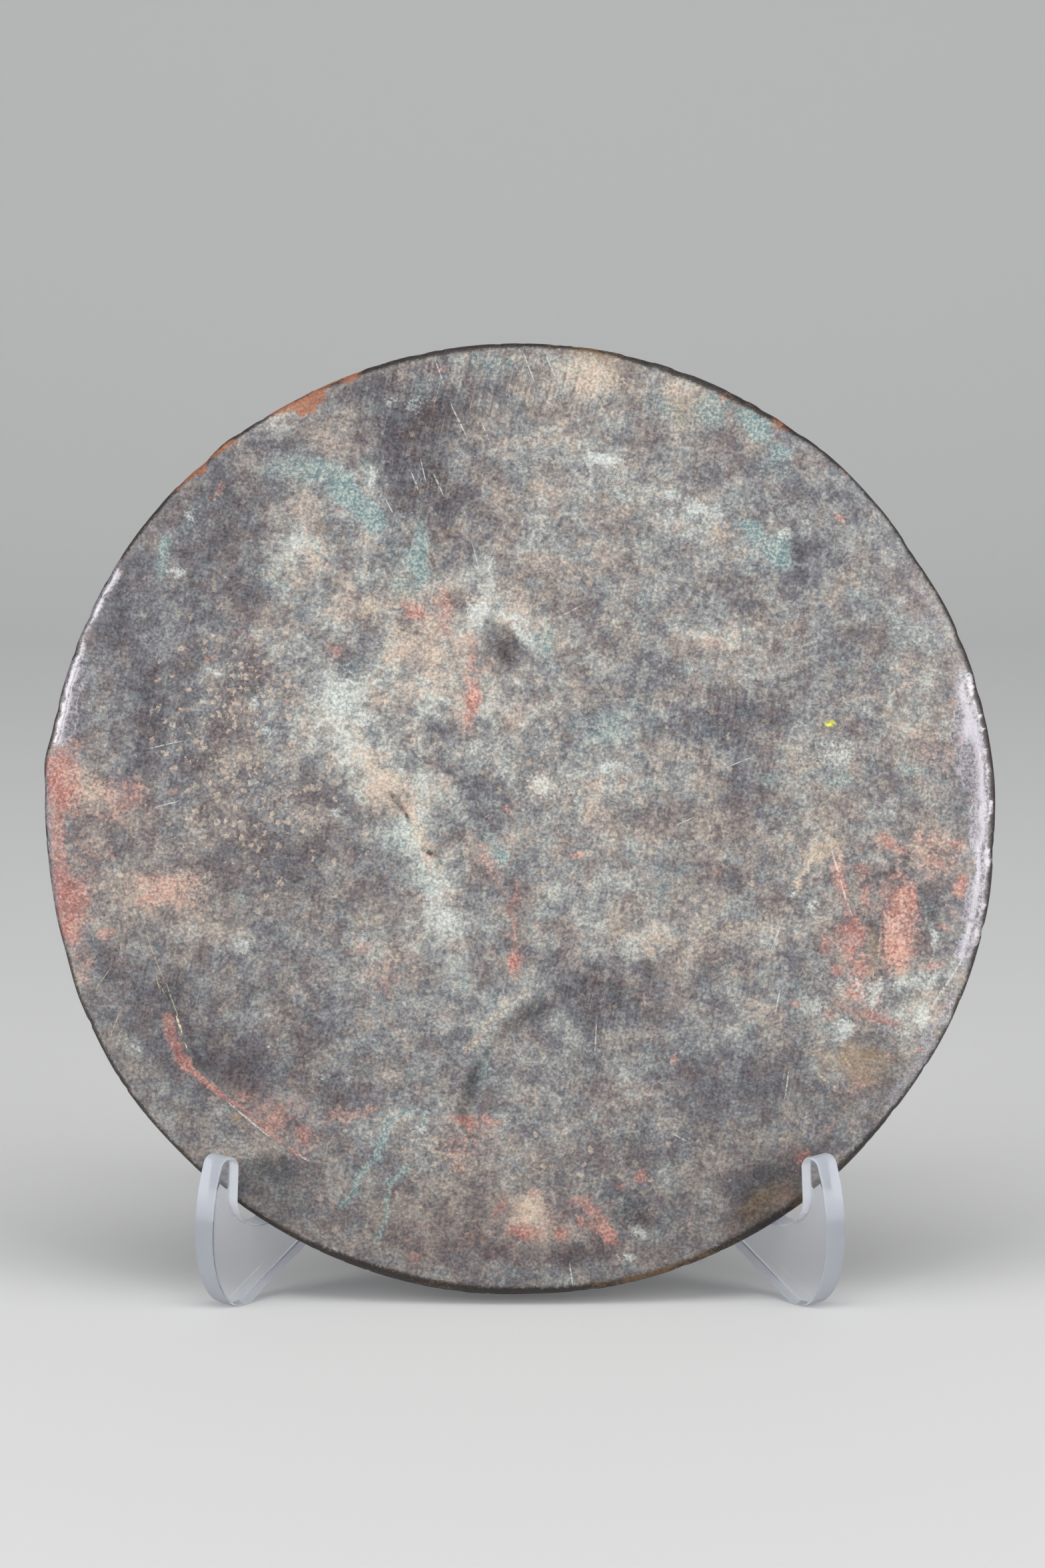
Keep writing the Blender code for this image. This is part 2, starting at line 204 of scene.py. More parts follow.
# Sizes in metres as in the solid model. Places on the face are in millimetres from its
# middle, x to the right and y up the face. A patch is (x, y, half length, half width,
# turn in degrees, strength), and a trail is ([points], half width, strength).
mirror = {
    "radius": 0.100,
    "rimDepth": 0.0040,
    "faceCrown": 0.0020,
    "plateThickness": 0.0032,
    "rimWall": 0.0050,
    "edgeRoll": 0.0030,
    "rightEdgeRoll": 0.0080,
    "rightWear": 75.0,
    "backRound": 0.0019,
    "panFillet": 0.0012,
    "outlineWear": [
        (33, 8, -0.00045), (49, 8, 0.00025), (128, 4, 0.00035), (140, 26, 0.00040),
        (173, 4, 0.00060), (188, 14, -0.00060), (197, 6, -0.00035), (214, 10, 0.00030),
        (272, 9, -0.00030), (322, 16, -0.00040), (357, 8, -0.00035),
    ],
    "nickDepth": 0.00022,
    "lean": 11.0,
    "middle": (0, -0.029671, 0.100432),
    "inset": 0.00004,  # keeps the fine mesh inside the faceted solid's box
    "frontSteps": 256,
    "backSteps": 128,
    "rollRings": 7,
    "backRings": 3,
    # where pale crust covers the dark patina, and where the dark shows bare
    "crust": [
        (5, 5, 58, 48, 0, 0.09), (-28, 28, 7, 6, 0, 0.08), (-28, -14, 7, 7, 0, 0.09),
        (14, 70, 8, 7, 0, 0.10), (0, 34, 9, 9, 0, 0.09), (-56, 42, 6, 6, 0, 0.08),
        (14, -14, 7, 6, 0, 0.06), (-70, -42, 7, 6, 0, 0.07), (84, 28, 5, 6, 0, 0.06),
        (14, 56, 26, 9, 0, 0.07), (32, 0, 8, 8, 0, 0.06), (-50, 0, 8, 6, 0, 0.10),
        (0, 28, 6, 5, 0, 0.08), (-84, 22, 7, 10, 0, 0.06), (0, 42, 6, 5, 0, 0.10),
        (-46, 38, 10, 8, 0, 0.06), (0, 42, 14, 9, 0, 0.09), (-28, -14, 8, 8, 0, 0.12),
        (-28, -30, 9, 7, 0, 0.09), (0, -42, 9, 7, 0, 0.12), (26, -28, 12, 7, 0, 0.10),
        (-78, -28, 14, 8, 0, 0.20), (-20, 62, 13, 9, 0, 0.12), (88, -32, 6, 7, 0, 0.22),
        (70, -44, 5, 4, 0, 0.10), (83, -42, 4, 3, 0, 0.14), (28, 14, 8, 7, 0, 0.08),
        (60, 0, 8, 8, 0, 0.06), (-86, 20, 5, 14, 0, 0.08), (44, -44, 9, 7, 0, 0.10),
        (-56, -70, 6, 6, 0, 0.17), (56, -66, 8, 8, 0, 0.20), (70, 56, 8, 8, 0, 0.08),
        (-62, -42, 10, 5, 0, 0.08), (-78, -14, 7, 6, 0, 0.05), (-46, 55, 13, 9, 75, 0.22),
        (-42, 26, 13, 11, 0, 0.24), (-31, 10, 14, 6, -42, 0.26), (-23, -5, 8, 4, -50, 0.22),
        (-17, -18, 7, 3.4, -65, 0.26), (-18, 31, 12, 8, 60, 0.24), (-20, 44, 10, 6, 0, 0.22),
        (-3, 22, 16, 6, 0, 0.12), (10, 79, 22, 13, 0, 0.12), (0, 94, 13, 4, 0, 0.06),
        (15, 92, 8, 5, 0, 0.26), (33, 87, 8, 5, 60, 0.22), (38, 61, 13, 6, -35, 0.14),
        (42, 38, 9, 5, 0, 0.20), (81, 27, 9, 20, 0, 0.16), (62, 45, 10, 7, 0, 0.08),
        (58, 14, 9, 6, 40, 0.06), (67, 13, 6, 4, 0, 0.10), (-60, 78, 8, 4, 45, 0.06),
        (-38, 82, 9, 4, 20, 0.14), (-52, 83, 4, 2, 20, 0.22), (46, -23, 14, 4, 0, 0.10),
        (70, -40, 12, 5, 0, 0.10), (84, -41, 4, 5, 0, 0.25), (3, -83, 4, 3, 0, 0.45),
        (-22, -63, 8, 3, 0, 0.22), (8, -68, 18, 8, 0, 0.08), (12, -10, 10, 6, 0, 0.08),
        (25, -24, 9, 4, 0, 0.16), (27, -58, 5, 4, 0, 0.16), (-58, 8, 14, 16, 0, 0.00),
        (-52, 18, 9, 7, 0, 0.02), (-63, -22, 8, 4, 0, 0.10), (-76, -62, 8, 4, -45, 0.14),
        (-84, -16, 5, 4, 0, 0.18), (-58, -26, 2.5, 2, 0, 0.25), (-25, -42, 8, 5, 0, 0.06),
        (63, -6, 4, 4, 0, 0.22), (90, -3, 6, 6, 0, 0.14), (-48, -58, 6, 4, 0, 0.06),
        (31, -75, 3, 4, 0, 0.28), (18, 6, 9, 4, -10, 0.20), (60, -40, 6, 5, 0, 0.12),
        (66, -51, 8, 4, -10, 0.16), (0, -42, 6, 5, 0, 0.10), (-12, -76, 12, 8, 0, 0.05),
        (-66, 31, 3, 2, 0, 0.25), (-64, 25, 3, 3, 0, 0.22),
    ],
    "bare": [
        (-56, 27, 8, 7, 0, 0.26), (70, -42, 7, 6, 0, 0.07), (87, -15, 3, 3, 0, 0.14),
        (75, -16, 3, 5, 0, 0.12), (84, 14, 5, 6, 0, 0.04), (22, -70, 14, 7, 0, 0.10),
        (-14, 86, 8, 6, 0, 0.22), (-58, 72, 8, 6, 0, 0.10), (28, 28, 7, 7, 0, 0.08),
        (-50, 14, 10, 7, 0, 0.08), (-84, -12, 6, 7, 0, 0.10), (-56, -28, 8, 6, 0, 0.07),
        (42, -28, 8, 6, 0, 0.07), (-14, -70, 8, 6, 0, 0.06), (-77, 23, 9, 14, 0, 0.32),
        (-84, 44, 6, 12, -25, 0.30), (-73, -36, 13, 8, -50, 0.36), (-60, -50, 12, 6, -20, 0.32),
        (-64, 60, 8, 12, 20, 0.20), (-58, 47, 7, 5, 0, 0.22), (-19, 68, 8, 13, 15, 0.40),
        (-25, 84, 9, 6, 0, 0.20), (28, 80, 6, 6, 0, 0.14), (-3.8, 34.0, 4.5, 3.2, -40, 0.50),
        (-15, 45, 3, 2.5, 0, 0.40), (-25, 41, 3, 3, 0, 0.30), (-16, 17, 4, 3, 0, 0.16),
        (-9, 2, 4, 6, 20, 0.24), (-52, -9, 11, 8, 0, 0.26), (-42, 3, 5, 3, 0, 0.24),
        (-31, -13, 5, 7, 0, 0.36), (30, 2, 6, 8, 0, 0.10), (45, 20, 9, 5, 20, 0.34),
        (48, 7, 6, 4, 0, 0.24), (27, 16, 6, 4, 0, 0.06), (16, -36, 9, 7, 0, 0.34),
        (-43, -42, 7, 6, 0, 0.14), (28, -72, 6, 5, 0, 0.13), (42, -14, 7, 5, 0, 0.08),
        (72, -57, 6, 5, 0, 0.10), (10, 45, 5, 4, 0, 0.08), (62, 54, 7, 6, 0, 0.24),
        (46, 48, 6, 4, 0, 0.16), (86, -23, 4, 4, 0, 0.30), (80, -11, 4, 3, 0, 0.16),
        (55, -58, 6, 8, 0, 0.26), (40, -56, 10, 7, 0, 0.20), (2, -43, 4, 3, 40, 0.40),
        (-9, -54, 7, 2.5, 58, 0.10), (-50, -76, 6, 4, 0, 0.34), (25, -83, 4, 4, 0, 0.40),
        (52, -79, 9, 4, 30, 0.34), (-38, -58, 6, 4, 0, 0.20), (-8, -91, 12, 3, 0, 0.20),
        (14, -91, 8, 3, 0, 0.30), (-39, 35, 4, 3, 0, 0.44), (-47, 30, 4, 3, 0, 0.24),
        (-62, 38, 5, 4, 0, 0.20), (35, -36, 5, 3, 0, 0.24), (4, 26.5, 2.5, 1, -50, 0.22),
        (-20, 22, 5, 3, 0, 0.16), (28, -32, 5, 4, 0, 0.10), (70, 38, 7, 6, 0, 0.10),
        (0, -14, 6, 5, 0, 0.16), (-85, -32, 4, 7, 20, 0.22), (64, -68, 6, 4, 30, 0.16),
        (-42, -6, 6, 5, 0, 0.06), (-64, 10, 8, 6, 0, 0.12), (70, 14, 6, 5, 0, 0.06),
    ],
    # darkens everything, strongest towards the bottom
    "grime": [
        (0, -100, 80, 30, 0, 0.16), (-70, -50, 34, 26, -40, 0.12), (-22, 88, 26, 10, 0, 0.14),
        (62, -62, 30, 22, 45, 0.10), (-82, 30, 14, 26, 0, 0.05), (-62, 62, 14, 18, 40, 0.08),
        (52, -80, 10, 5, 30, 0.34), (-54, -77, 6, 7, -30, 0.30), (24, -84, 5, 5, 0, 0.10),
        (-45, -10, 22, 14, 0, 0.05), (-5, 36, 4, 4, 0, 0.10), (-19, 68, 8, 12, 0, 0.06),
        (16, -38, 9, 9, 0, 0.09), (-14, -86, 22, 8, 0, 0.10), (55, -60, 8, 9, 0, 0.08),
    ],
    # more crust along the pale ridge
    "crustTrails": [
        ([(-38, 19), (-31, 10), (-25, 2), (-20, -6)], 2.4, 0.18), ([(-19, -9), (-16, -18)], 3.0, 0.10),
        ([(-48, 30), (-38, 24), (-28, 18)], 5.0, 0.05),
    ],
    # dark winding marks: the crescent below the middle, and cracks along the pale ridge
    "shadeTrails": [
        ([(-12.6, -61.6), (-10.8, -57.4), (-9.4, -53.6)], 2.4, 0.48),
        ([(-10.4, -54.6), (-8.2, -50.8)], 1.3, 0.42),
        ([(-7.2, -49.4), (-4.0, -45.2), (-1.8, -43.2)], 1.0, 0.44),
        ([(-1.6, -43.0), (1.4, -41.2), (4.6, -39.0)], 2.6, 0.44),
        ([(10.2, -47.5), (14.4, -50.6), (17.6, -52.0)], 1.8, 0.20),
        ([(7.0, -57.2), (12.0, -60.0)], 0.8, 0.26),
        ([(-27.2, 5.0), (-25.2, 3.0), (-23.6, 0.2)], 0.9, 0.62),
        ([(-20.2, -6.8), (-18.0, -8.0), (-16.4, -9.8)], 0.8, 0.60),
        ([(-7.4, 41.6), (-5.2, 40.6)], 0.9, 0.50),
        ([(-3.6, 39.4), (-1.8, 37.8), (-0.8, 35.8)], 1.0, 0.46),
        ([(-6.2, 36.4), (-3.8, 34.6), (-1.6, 33.0)], 2.2, 0.20),
        ([(5.0, 28.0), (6.2, 25.6)], 0.9, 0.34), ([(-13.6, 58.4), (-14.4, 62.0)], 0.8, 0.20),
        ([(26, -30), (28.4, -32.6), (31, -33.4)], 1.2, 0.22),
        ([(-10.6, -8.0), (-8.6, -10.6)], 0.7, 0.16),
    ],
    # worn smooth bare metal on the rolled edges at the left and right, its colour made light as a painted
    # highlight
    # (angle, half width in degrees, from and to which radius, strength)
    "wornAndHighlight": [
        (0, 26, 95.6, 99.2, 1.0), (9, 7, 92.6, 97.6, 1.0), (26, 13, 96.6, 99.0, 0.42),
        (31, 10, 90.5, 96.0, 0.36), (166, 7, 95.8, 99.4, 1.0), (156, 12, 98.2, 99.8, 0.8),
        (183, 14, 98.8, 99.9, 0.6), (-30, 12, 96.8, 98.8, 0.6),
    ],
    # where it is mottled most
    "lively": [
        (-20, 22, 34, 30, 0, 0.8), (75, -26, 16, 22, 0, 0.7), (4, -86, 26, 10, 0, 0.6),
        (-78, -8, 14, 20, 0, 0.4), (-34, 66, 22, 14, 0, 0.5), (50, 58, 22, 12, -30, 0.35),
        (-30, -66, 24, 10, 0, 0.4),
    ],
    # where the patina is warmer or cooler in tone
    "warm": [
        (-30, 14, 16, 12, -50, -0.05), (-16, 36, 8, 8, 0, 0.03), (-41, 27, 9, 9, 0, -0.12),
        (-78, -14, 14, 8, 0, 0.12), (-90, 2, 8, 10, 0, 0.14), (-20, -88, 34, 10, 0, 0.04),
        (30, -30, 18, 10, 0, 0.05), (78, -18, 16, 18, 0, 0.05), (35, 88, 16, 8, 0, 0.03),
        (52, -78, 14, 8, 30, 0.08), (-62, 18, 16, 22, 0, 0.05), (-80, 24, 14, 20, 0, -0.07),
        (-72, 50, 14, 16, 0, -0.05), (-28, 66, 12, 12, 0, -0.04), (50, 55, 22, 14, 0, -0.05),
        (44, 16, 22, 8, 10, -0.04), (0, -42, 26, 20, 0, -0.04), (40, -50, 22, 12, 0, -0.05),
        (-30, -78, 12, 14, 0, -0.04), (62, 66, 12, 12, 0, -0.05), (90, -30, 8, 16, 0, -0.02),
        (36, 0, 12, 8, 0, 0.12), (-8, -84, 26, 8, 0, 0.10), (0, -14, 8, 6, 0, 0.06),
        (8, -16, 14, 10, 0, -0.03), (-8, 3, 5, 7, 0, -0.12), (20, 19, 9, 4, 35, -0.12),
        (-18, 34, 5, 8, 0, 0.05), (-14, 24, 5, 4, 0, -0.08), (-26, 46, 4, 5, 0, 0.06),
        (-19, -16, 4, 8, 20, -0.10), (-27, 5, 6, 3, -50, 0.08), (-31, 63, 6, 5, 0, -0.08),
    ],
    # buff crumbs scattered over the dark
    "crumbs": [
        (-60, 14, 12, 18, 0, 0.40), (-62, 30, 8, 8, 0, 0.32), (-48, -4, 14, 10, 0, 0.24),
        (-76, -15, 9, 5, 0, 0.30), (40, -22, 20, 8, 0, 0.14), (10, -72, 24, 12, 0, 0.12),
        (45, 40, 14, 10, 0, 0.10), (-40, 55, 12, 8, 0, 0.14), (70, -52, 10, 6, 0, 0.22),
        (62, -6, 6, 5, 0, 0.30), (0, 20, 50, 50, 0, 0.07), (-20, -70, 12, 8, 0, 0.14),
    ],
    # where faint scratches show
    "rubbed": [
        (0, 92, 34, 10, 0, 0.90), (-20, 70, 12, 14, 0, 0.70), (16, -42, 9, 16, 0, 0.60),
        (-76, 18, 10, 14, 0, 0.40), (55, -60, 9, 12, 0, 0.60), (20, 20, 80, 80, 0, 0.25),
        (-72, -34, 14, 10, 0, 0.40), (40, 20, 16, 12, 0, 0.40),
    ],
    # dark brown rim, made darker as painted shade on the edge that turns away: angle, half width of the
    # stretch in degrees, and how much wider it shows (mm)
    "leastBrown": 0.5,
    "brownRim": [
        (100, 34, 0.7), (66, 22, 1.0), (8, 40, 0.5), (-58, 30, 1.1), (-100, 36, 1.3),
        (-140, 30, 0.2), (140, 24, 0.2),
    ],
    # gilded-looking bare metal on the rim: angle, half width of the stretch, and share
    "giltRim": [
        (81, 8, 1.0), (-73, 16, 1.0), (-52, 8, 0.9), (62, 6, 0.3), (-100, 10, 0.5), (-120, 10, 0.6),
        (118, 8, 0.5),
    ],
    # red flakes with crisp, blocky outlines
    "redFlakes": [
        (80.8, -17.0, 3.6, 2.5, 86, 1.3), (79.4, -24.4, 7.2, 3.0, 84, 1.4),
        (69.6, -25.0, 4.6, 2.2, 80, 1.15), (66.9, -12.0, 4.2, 0.8, 100, 1.1),
        (92.4, -14.4, 2.4, 1.5, 70, 1.3), (70.4, -35.4, 2.8, 1.6, 60, 0.9),
        (76.2, -42.2, 3.8, 0.9, -14, 1.1), (15.4, -82.2, 2.8, 1.1, -52, 1.4),
        (18.4, -87.0, 2.6, 1.1, -50, 1.4), (0.6, -86.6, 3.8, 1.4, -10, 1.25),
        (8.6, -87.2, 1.8, 1.1, 50, 1.0), (25.6, -74.6, 1.3, 0.7, 40, 1.1),
        (79.2, -5.6, 2.6, 0.8, -35, 0.9), (-96, -18, 9.6, 3.4, 100, 1.25), (-96, 8, 7.2, 3.6, 84, 1.15),
        (-97.4, -4, 6, 2.0, 90, 1.0), (-10.2, 24.6, 5.6, 1.0, 86, 1.1),
        (-1.2, -30.4, 2.4, 1.0, 85, 1.2), (-23, 42.8, 1.6, 0.9, -20, 0.8),
        (83.6, -48.6, 1.2, 0.8, 0, 0.8), (89.2, -39.6, 0.9, 0.7, 0, 1.1),
        (64.2, -26.4, 0.9, 1.4, 0, 1.0), (66.6, -31.8, 1.5, 1.1, -30, 1.0),
        (74.6, -37.6, 0.6, 2.4, 0, 0.9), (11.6, -80.6, 1.3, 0.8, -40, 0.95),
        (12.4, -84.4, 0.9, 1.4, 0, 0.8), (21.6, -76.8, 1.4, 0.6, 30, 0.9),
        (-11.6, -62.8, 3.4, 0.8, -22, 1.0), (89.4, -22.6, 0.9, 0.7, 0, 1.1),
        (87.4, -31.0, 1.8, 0.8, 30, 0.9), (-75, -15.4, 6.0, 2.8, 0, 0.80),
    ],
    # buff and cream crust
    "cream": [
        (2.6, -82.0, 3.4, 2.5, 20, 0.95), (-18, 32.6, 2.2, 4.0, 0, 0.70),
        (-29, 8.4, 5.4, 1.8, -42, 0.60), (-75, -15, 9.5, 4.4, -3, 0.52), (-90, 6, 4, 6, 20, 0.5),
        (-22.4, -1.8, 4.4, 1.4, -55, 0.85), (-18.6, -8.4, 1.6, 1.2, 0, 0.9),
        (-26.6, 38.6, 3.4, 3.0, 0, 0.60), (-32, 44, 3, 4, 0, 0.5), (66, -51, 5, 1.8, -20, 0.5),
        (15, 93, 8, 3.4, -8, 0.55), (62, -7, 4, 2.4, 40, 0.55), (45, -23, 9, 2.6, 0, 0.50),
        (79.0, -26.4, 2.6, 6.6, 5, 0.9), (86, -6, 6, 3, 20, 0.5), (33, 14, 4, 2.4, 0, 0.42),
        (4.6, 6.6, 3.2, 2.2, 0, 0.5), (12, 3, 8, 2.4, 10, 0.4), (22, -25, 5, 2, 0, 0.5),
        (-12, -72, 6, 4, 0, 0.35), (-60, 12, 5, 4, 0, 0.4), (60, 12, 5, 3, 30, 0.4),
    ],
    "creamTrails": [
        ([(57.9, -14.9), (61.0, -10.0), (65.1, -4.7), (67.0, -8.6)], 0.9, 0.75),
        ([(-21.4, -67.6), (-17, -69.6), (-12, -69.8)], 1.0, 0.6),
        ([(-11.4, -48.6), (-8.0, -44.6), (-3.0, -39.8)], 1.6, 0.40),
        ([(-3.0, -38.8), (1.4, -36.0)], 2.2, 0.42),
    ],
    # brick-red and salmon corrosion
    "red": [
        (-10.2, 25, 6.5, 1.7, 88, 1.05), (-10.6, 35, 5, 1.0, 80, 0.80), (-8, 31, 3.6, 1.5, 40, 0.55),
        (-22, 43, 3.0, 1.8, -10, 0.95), (-17, 45.5, 2.6, 3.0, 0, 0.75), (-16, 41, 4.4, 2.2, -60, 0.72),
        (-17, 36, 3, 4, 0, 0.40), (-1.8, -17, 3.2, 1.3, 75, 0.75), (-1, -30, 3.0, 1.3, 85, 1.00),
        (-3, -24, 1.4, 1.0, 0, 0.7), (-96, 8, 8.5, 4.5, 85, 0.95), (-84, 4, 7, 5, 0, 0.66),
        (-90, -8, 5, 6, 0, 0.40), (-97.5, -5, 6, 2.4, 88, 0.70), (-95, -18, 10, 4.5, 100, 1.00),
        (-93, -31, 5, 2.5, 110, 0.62), (-75, -15, 8, 4, -3, 0.80), (-86.5, -24.5, 2, 1.6, -40, 0.80),
        (-71.5, 5, 1.1, 0.9, 0, 0.9), (-33, -27.5, 2.4, 1.3, 20, 0.75), (-28, -35, 3, 5, 0, 0.42),
        (-52, -63, 6, 3, -15, 0.75), (-45, -66, 3, 2.6, -40, 0.85), (-36, -62.5, 6, 2.0, 8, 0.65),
        (-57, -58, 3, 2, -30, 0.66), (-12.5, -62.5, 2.6, 1.5, -20, 0.9), (-7, -63.5, 3, 1.4, -15, 0.85),
        (-13, -73, 1.1, 1.0, 0, 0.9), (-12, -69, 5, 3, 0, 0.45), (-4, -82, 1.3, 1.8, 0, 0.85),
        (0, -86.5, 3.2, 1.5, -20, 0.95), (8.5, -87.5, 2.2, 1.3, 30, 0.95),
        (12, -80.5, 1.8, 1.3, 0, 0.9), (15, -82.3, 2.2, 1.5, -40, 1.05), (18, -87, 2.6, 1.6, -25, 1.05),
        (-21.5, -92, 1.2, 2.0, 0, 0.75), (-4.3, -95, 1.0, 1.2, 0, 0.8), (-14, -88, 16, 7, 0, 0.32),
        (4, -84, 14, 6, 0, 0.42), (-50, -62, 7, 5, 0, 0.5), (25.5, -74.5, 1.4, 1.0, 20, 1.0),
        (21.5, -77, 1.6, 0.9, 20, 0.75), (11, -85.5, 1.4, 1.6, 0, 0.7), (3, -78.5, 2, 1, 0, 0.6),
        (66.3, -11, 1.3, 3.0, 8, 0.95), (67.6, -17, 1.2, 3.2, 12, 0.85), (69, -25, 3.2, 4.5, 0, 0.95),
        (72.4, -16.5, 1.5, 4, 0, 0.80), (70.5, -32, 3.5, 4.5, 20, 0.80), (64.4, -27, 1.3, 1.8, 0, 0.9),
        (66, -31.5, 1.5, 1.3, 0, 0.8), (72, -10, 3.2, 1.2, 15, 0.72), (76.5, -5.2, 2.6, 1.2, -30, 0.85),
        (79.4, -22, 3.4, 9.2, 5, 1.10), (93, -13.8, 1.6, 2.4, 0, 0.95), (92, -5.5, 3, 1.5, 0, 0.80),
        (86, -5.5, 5, 3, 20, 0.55), (91, -20, 1.4, 2.6, 20, 0.7), (85.5, -31, 2.8, 1.8, 0, 0.72),
        (76.5, -42, 3.2, 1.3, -10, 0.95), (57.3, -38.7, 1.1, 0.9, 0, 0.95),
        (64.2, -41.3, 1.1, 1.2, 0, 0.8), (70, -37, 2.4, 2.4, 0, 0.6), (72, -40, 8, 4, -14, 0.50),
        (70, -56, 6, 4, 0, 0.40), (77, -50, 1.2, 0.9, 0, 0.7), (59, -70.8, 1.6, 1.4, 0, 0.9),
        (67, 63, 0.9, 1.2, 12, 1.1), (69.5, 53, 0.9, 0.9, 0, 0.85), (67.7, 72.2, 2.0, 1.2, -45, 0.85),
        (43.7, 88.9, 2.4, 1.0, -15, 0.95), (41.2, -11.8, 0.9, 0.8, 0, 1.0),
        (12, -7.4, 1.1, 0.9, 0, 0.95), (-3, 1.4, 0.9, 0.8, 0, 0.85), (31.8, -50, 0.9, 0.9, 0, 0.9),
        (-63, 68.7, 1.0, 0.9, 0, 0.9), (-64.3, 67.2, 0.9, 0.8, 0, 0.8), (91, 24, 1.4, 0.9, 0, 0.75),
        (96.6, 12, 1.2, 7, 3, 0.50), (-38.5, 65.2, 0.9, 0.8, 0, 0.8), (-59, 38, 1.2, 0.9, 0, 0.7),
        (-56, 37.7, 1.0, 0.8, 0, 0.8), (-65.2, 34, 1.0, 0.8, 0, 0.8), (-39, 34.5, 3, 2, 0, 0.55),
        (-24.2, 1.0, 2.6, 1.1, -50, 0.62), (-18.8, -8.6, 1.6, 0.9, 0, 0.7),
        (-16, 94.3, 1.0, 0.8, 0, 0.8), (-17.5, 87, 1.0, 0.8, 0, 0.6), (33, 1, 5, 7, 0, 0.22),
        (56, -79, 2, 1.2, 30, 0.5), (65.5, -65, 1.6, 1.0, 30, 0.6), (88, 12, 4, 8, 0, 0.36),
        (-50, 27, 5, 6, 0, 0.22), (-6, 33, 2, 1, 0, 0.4), (42.5, 36.5, 2.5, 2, 0, 0.45),
        (-26, 3.5, 3.6, 1.3, -50, 0.42), (88, -9, 7, 4, 10, 0.62), (-10, -67, 8, 4, 0, 0.42),
        (-7, -9, 6, 1.5, -55, 0.55),
    ],
    # the first three are the gouge, its tail and the thin line after it
    "redTrails": [
        ([(-73.6, -41.8), (-73, -45), (-71.4, -49), (-69.5, -52)], 1.8, 1.15),
        ([(-69.5, -52), (-66.5, -54.6), (-63.5, -57.2)], 1.1, 1.0),
        ([(-63.5, -57.2), (-58, -61), (-52, -66.2), (-47, -69.9), (-44.6, -71.5)], 0.9, 0.72),
        ([(-2, -18), (-1, -24), (-1, -30)], 0.9, 0.45),
        ([(92.4, 17), (92.0, 12), (92.8, 6), (93.2, 0)], 0.7, 0.75),
        ([(66.6, -9.4), (67.2, -14), (68.6, -20), (69.8, -30), (71.4, -38)], 1.7, 0.62),
    ],
    # turquoise and pale green blooms
    "teal": [
        (-36.5, 68.5, 4.6, 2.6, -50, 1.0), (-32.5, 64, 4, 2.0, -50, 0.90), (-29, 60, 3, 2, -45, 0.42),
        (-41, 73.4, 5, 2.4, -28, 0.62), (-50, 73, 7, 3, 10, 0.50), (-21.6, 56, 1.9, 6, 0, 0.80),
        (-26.4, 56.6, 2.4, 2.4, 0, 0.4), (-24, 47.5, 2.6, 4, 0, 0.46), (-73.8, 56, 1.3, 2.4, 0, 0.85),
        (-75, 52, 1.0, 2, 0, 0.6), (-70, 61, 4.5, 1.1, 45, 0.48), (-66, 65.5, 4, 1.6, 30, 0.38),
        (18.5, 20, 8, 3.5, 45, 0.42), (24.5, 23, 4, 3, 0, 0.34), (13, 14, 3, 2.4, 45, 0.40),
        (27.5, 6.8, 3, 2.2, 0, 0.44), (54.0, 55.6, 3.6, 3.0, -40, 0.95), (48, 60.4, 4, 2.2, -30, 0.80),
        (51, 57, 6, 4, -30, 0.50), (49, 82.4, 4.4, 2.4, -35, 0.85), (55.6, 77.6, 2.4, 1.8, 0, 0.75),
        (40, 87, 4, 3, 0, 0.55), (53, 73.5, 3, 3, 0, 0.36), (81, 38, 4, 3, 0, 0.36),
        (69, 48, 3, 2, 0, 0.36), (83, 10.5, 3.5, 1.4, 0, 0.44), (66, 8, 5, 2, 0, 0.46),
        (52, 9, 4, 2, 0, 0.36), (-4.5, 95.5, 5, 3, 0, 0.38), (-20.5, 89, 4, 2.4, 0, 0.34),
        (-19, -13, 6, 2.6, -70, 0.42), (-5, -8, 2, 1.6, 0, 0.62), (-6.5, -4.5, 2.4, 1.4, -50, 0.46),
        (-8, -52.5, 4.5, 1.8, 58, 0.48), (22, -82, 4, 4, 0, 0.34), (32, -72, 3, 2.4, -40, 0.42),
        (71, -35, 4, 3, 0, 0.40), (68, -44, 3, 3, 0, 0.42), (6, -18, 3, 3, 0, 0.34),
        (-14, -34, 5, 4, 0, 0.28), (-50, -76, 6, 5, 0, 0.26), (31, 88, 4, 5, 0, 0.30),
        (36, 84, 5, 4, 0, 0.26), (-37, 26, 4, 6, 0, 0.30), (-25, -3, 4, 5, 20, 0.40),
        (84, -20, 6, 6, 0, 0.22), (-60, -15, 3, 2.4, 0, 0.26), (4, 37, 3, 4, 0, 0.40),
        (-32, 73, 2, 4, 0, 0.44), (60, -36, 3, 3, 0, 0.26), (56, -76, 5, 2, 20, 0.16),
        (-3, -42, 2, 3, 40, 0.26), (78, 54, 3, 1, -40, 0.30),
    ],
    "tealTrails": [
       
        (
            [(-38, -81), (-33.5, -76.5), (-30.5, -71.5), (-28.3, -66), (-26, -62.4), (-22.5, -60.8)],
            1.3, 0.80,
        ),
        ([(-22.5, -60.8), (-20, -61.6), (-19.2, -65.5)], 1.1, 0.72),
        ([(-23.4, -71.8), (-26.8, -75.4), (-27.8, -80), (-28.6, -84), (-30.2, -89)], 1.0, 0.80),
        ([(-45, 76), (-41, 75.4), (-37, 74)], 0.9, 0.40),
    ],
    # chalky white and cream spots
    "white": [
        (-8.3, 43.6, 2.8, 2.4, 30, 1.05), (-9, 41, 1.4, 2.0, 0, 0.75), (-1.2, 41.5, 2.2, 1.4, 0, 0.95),
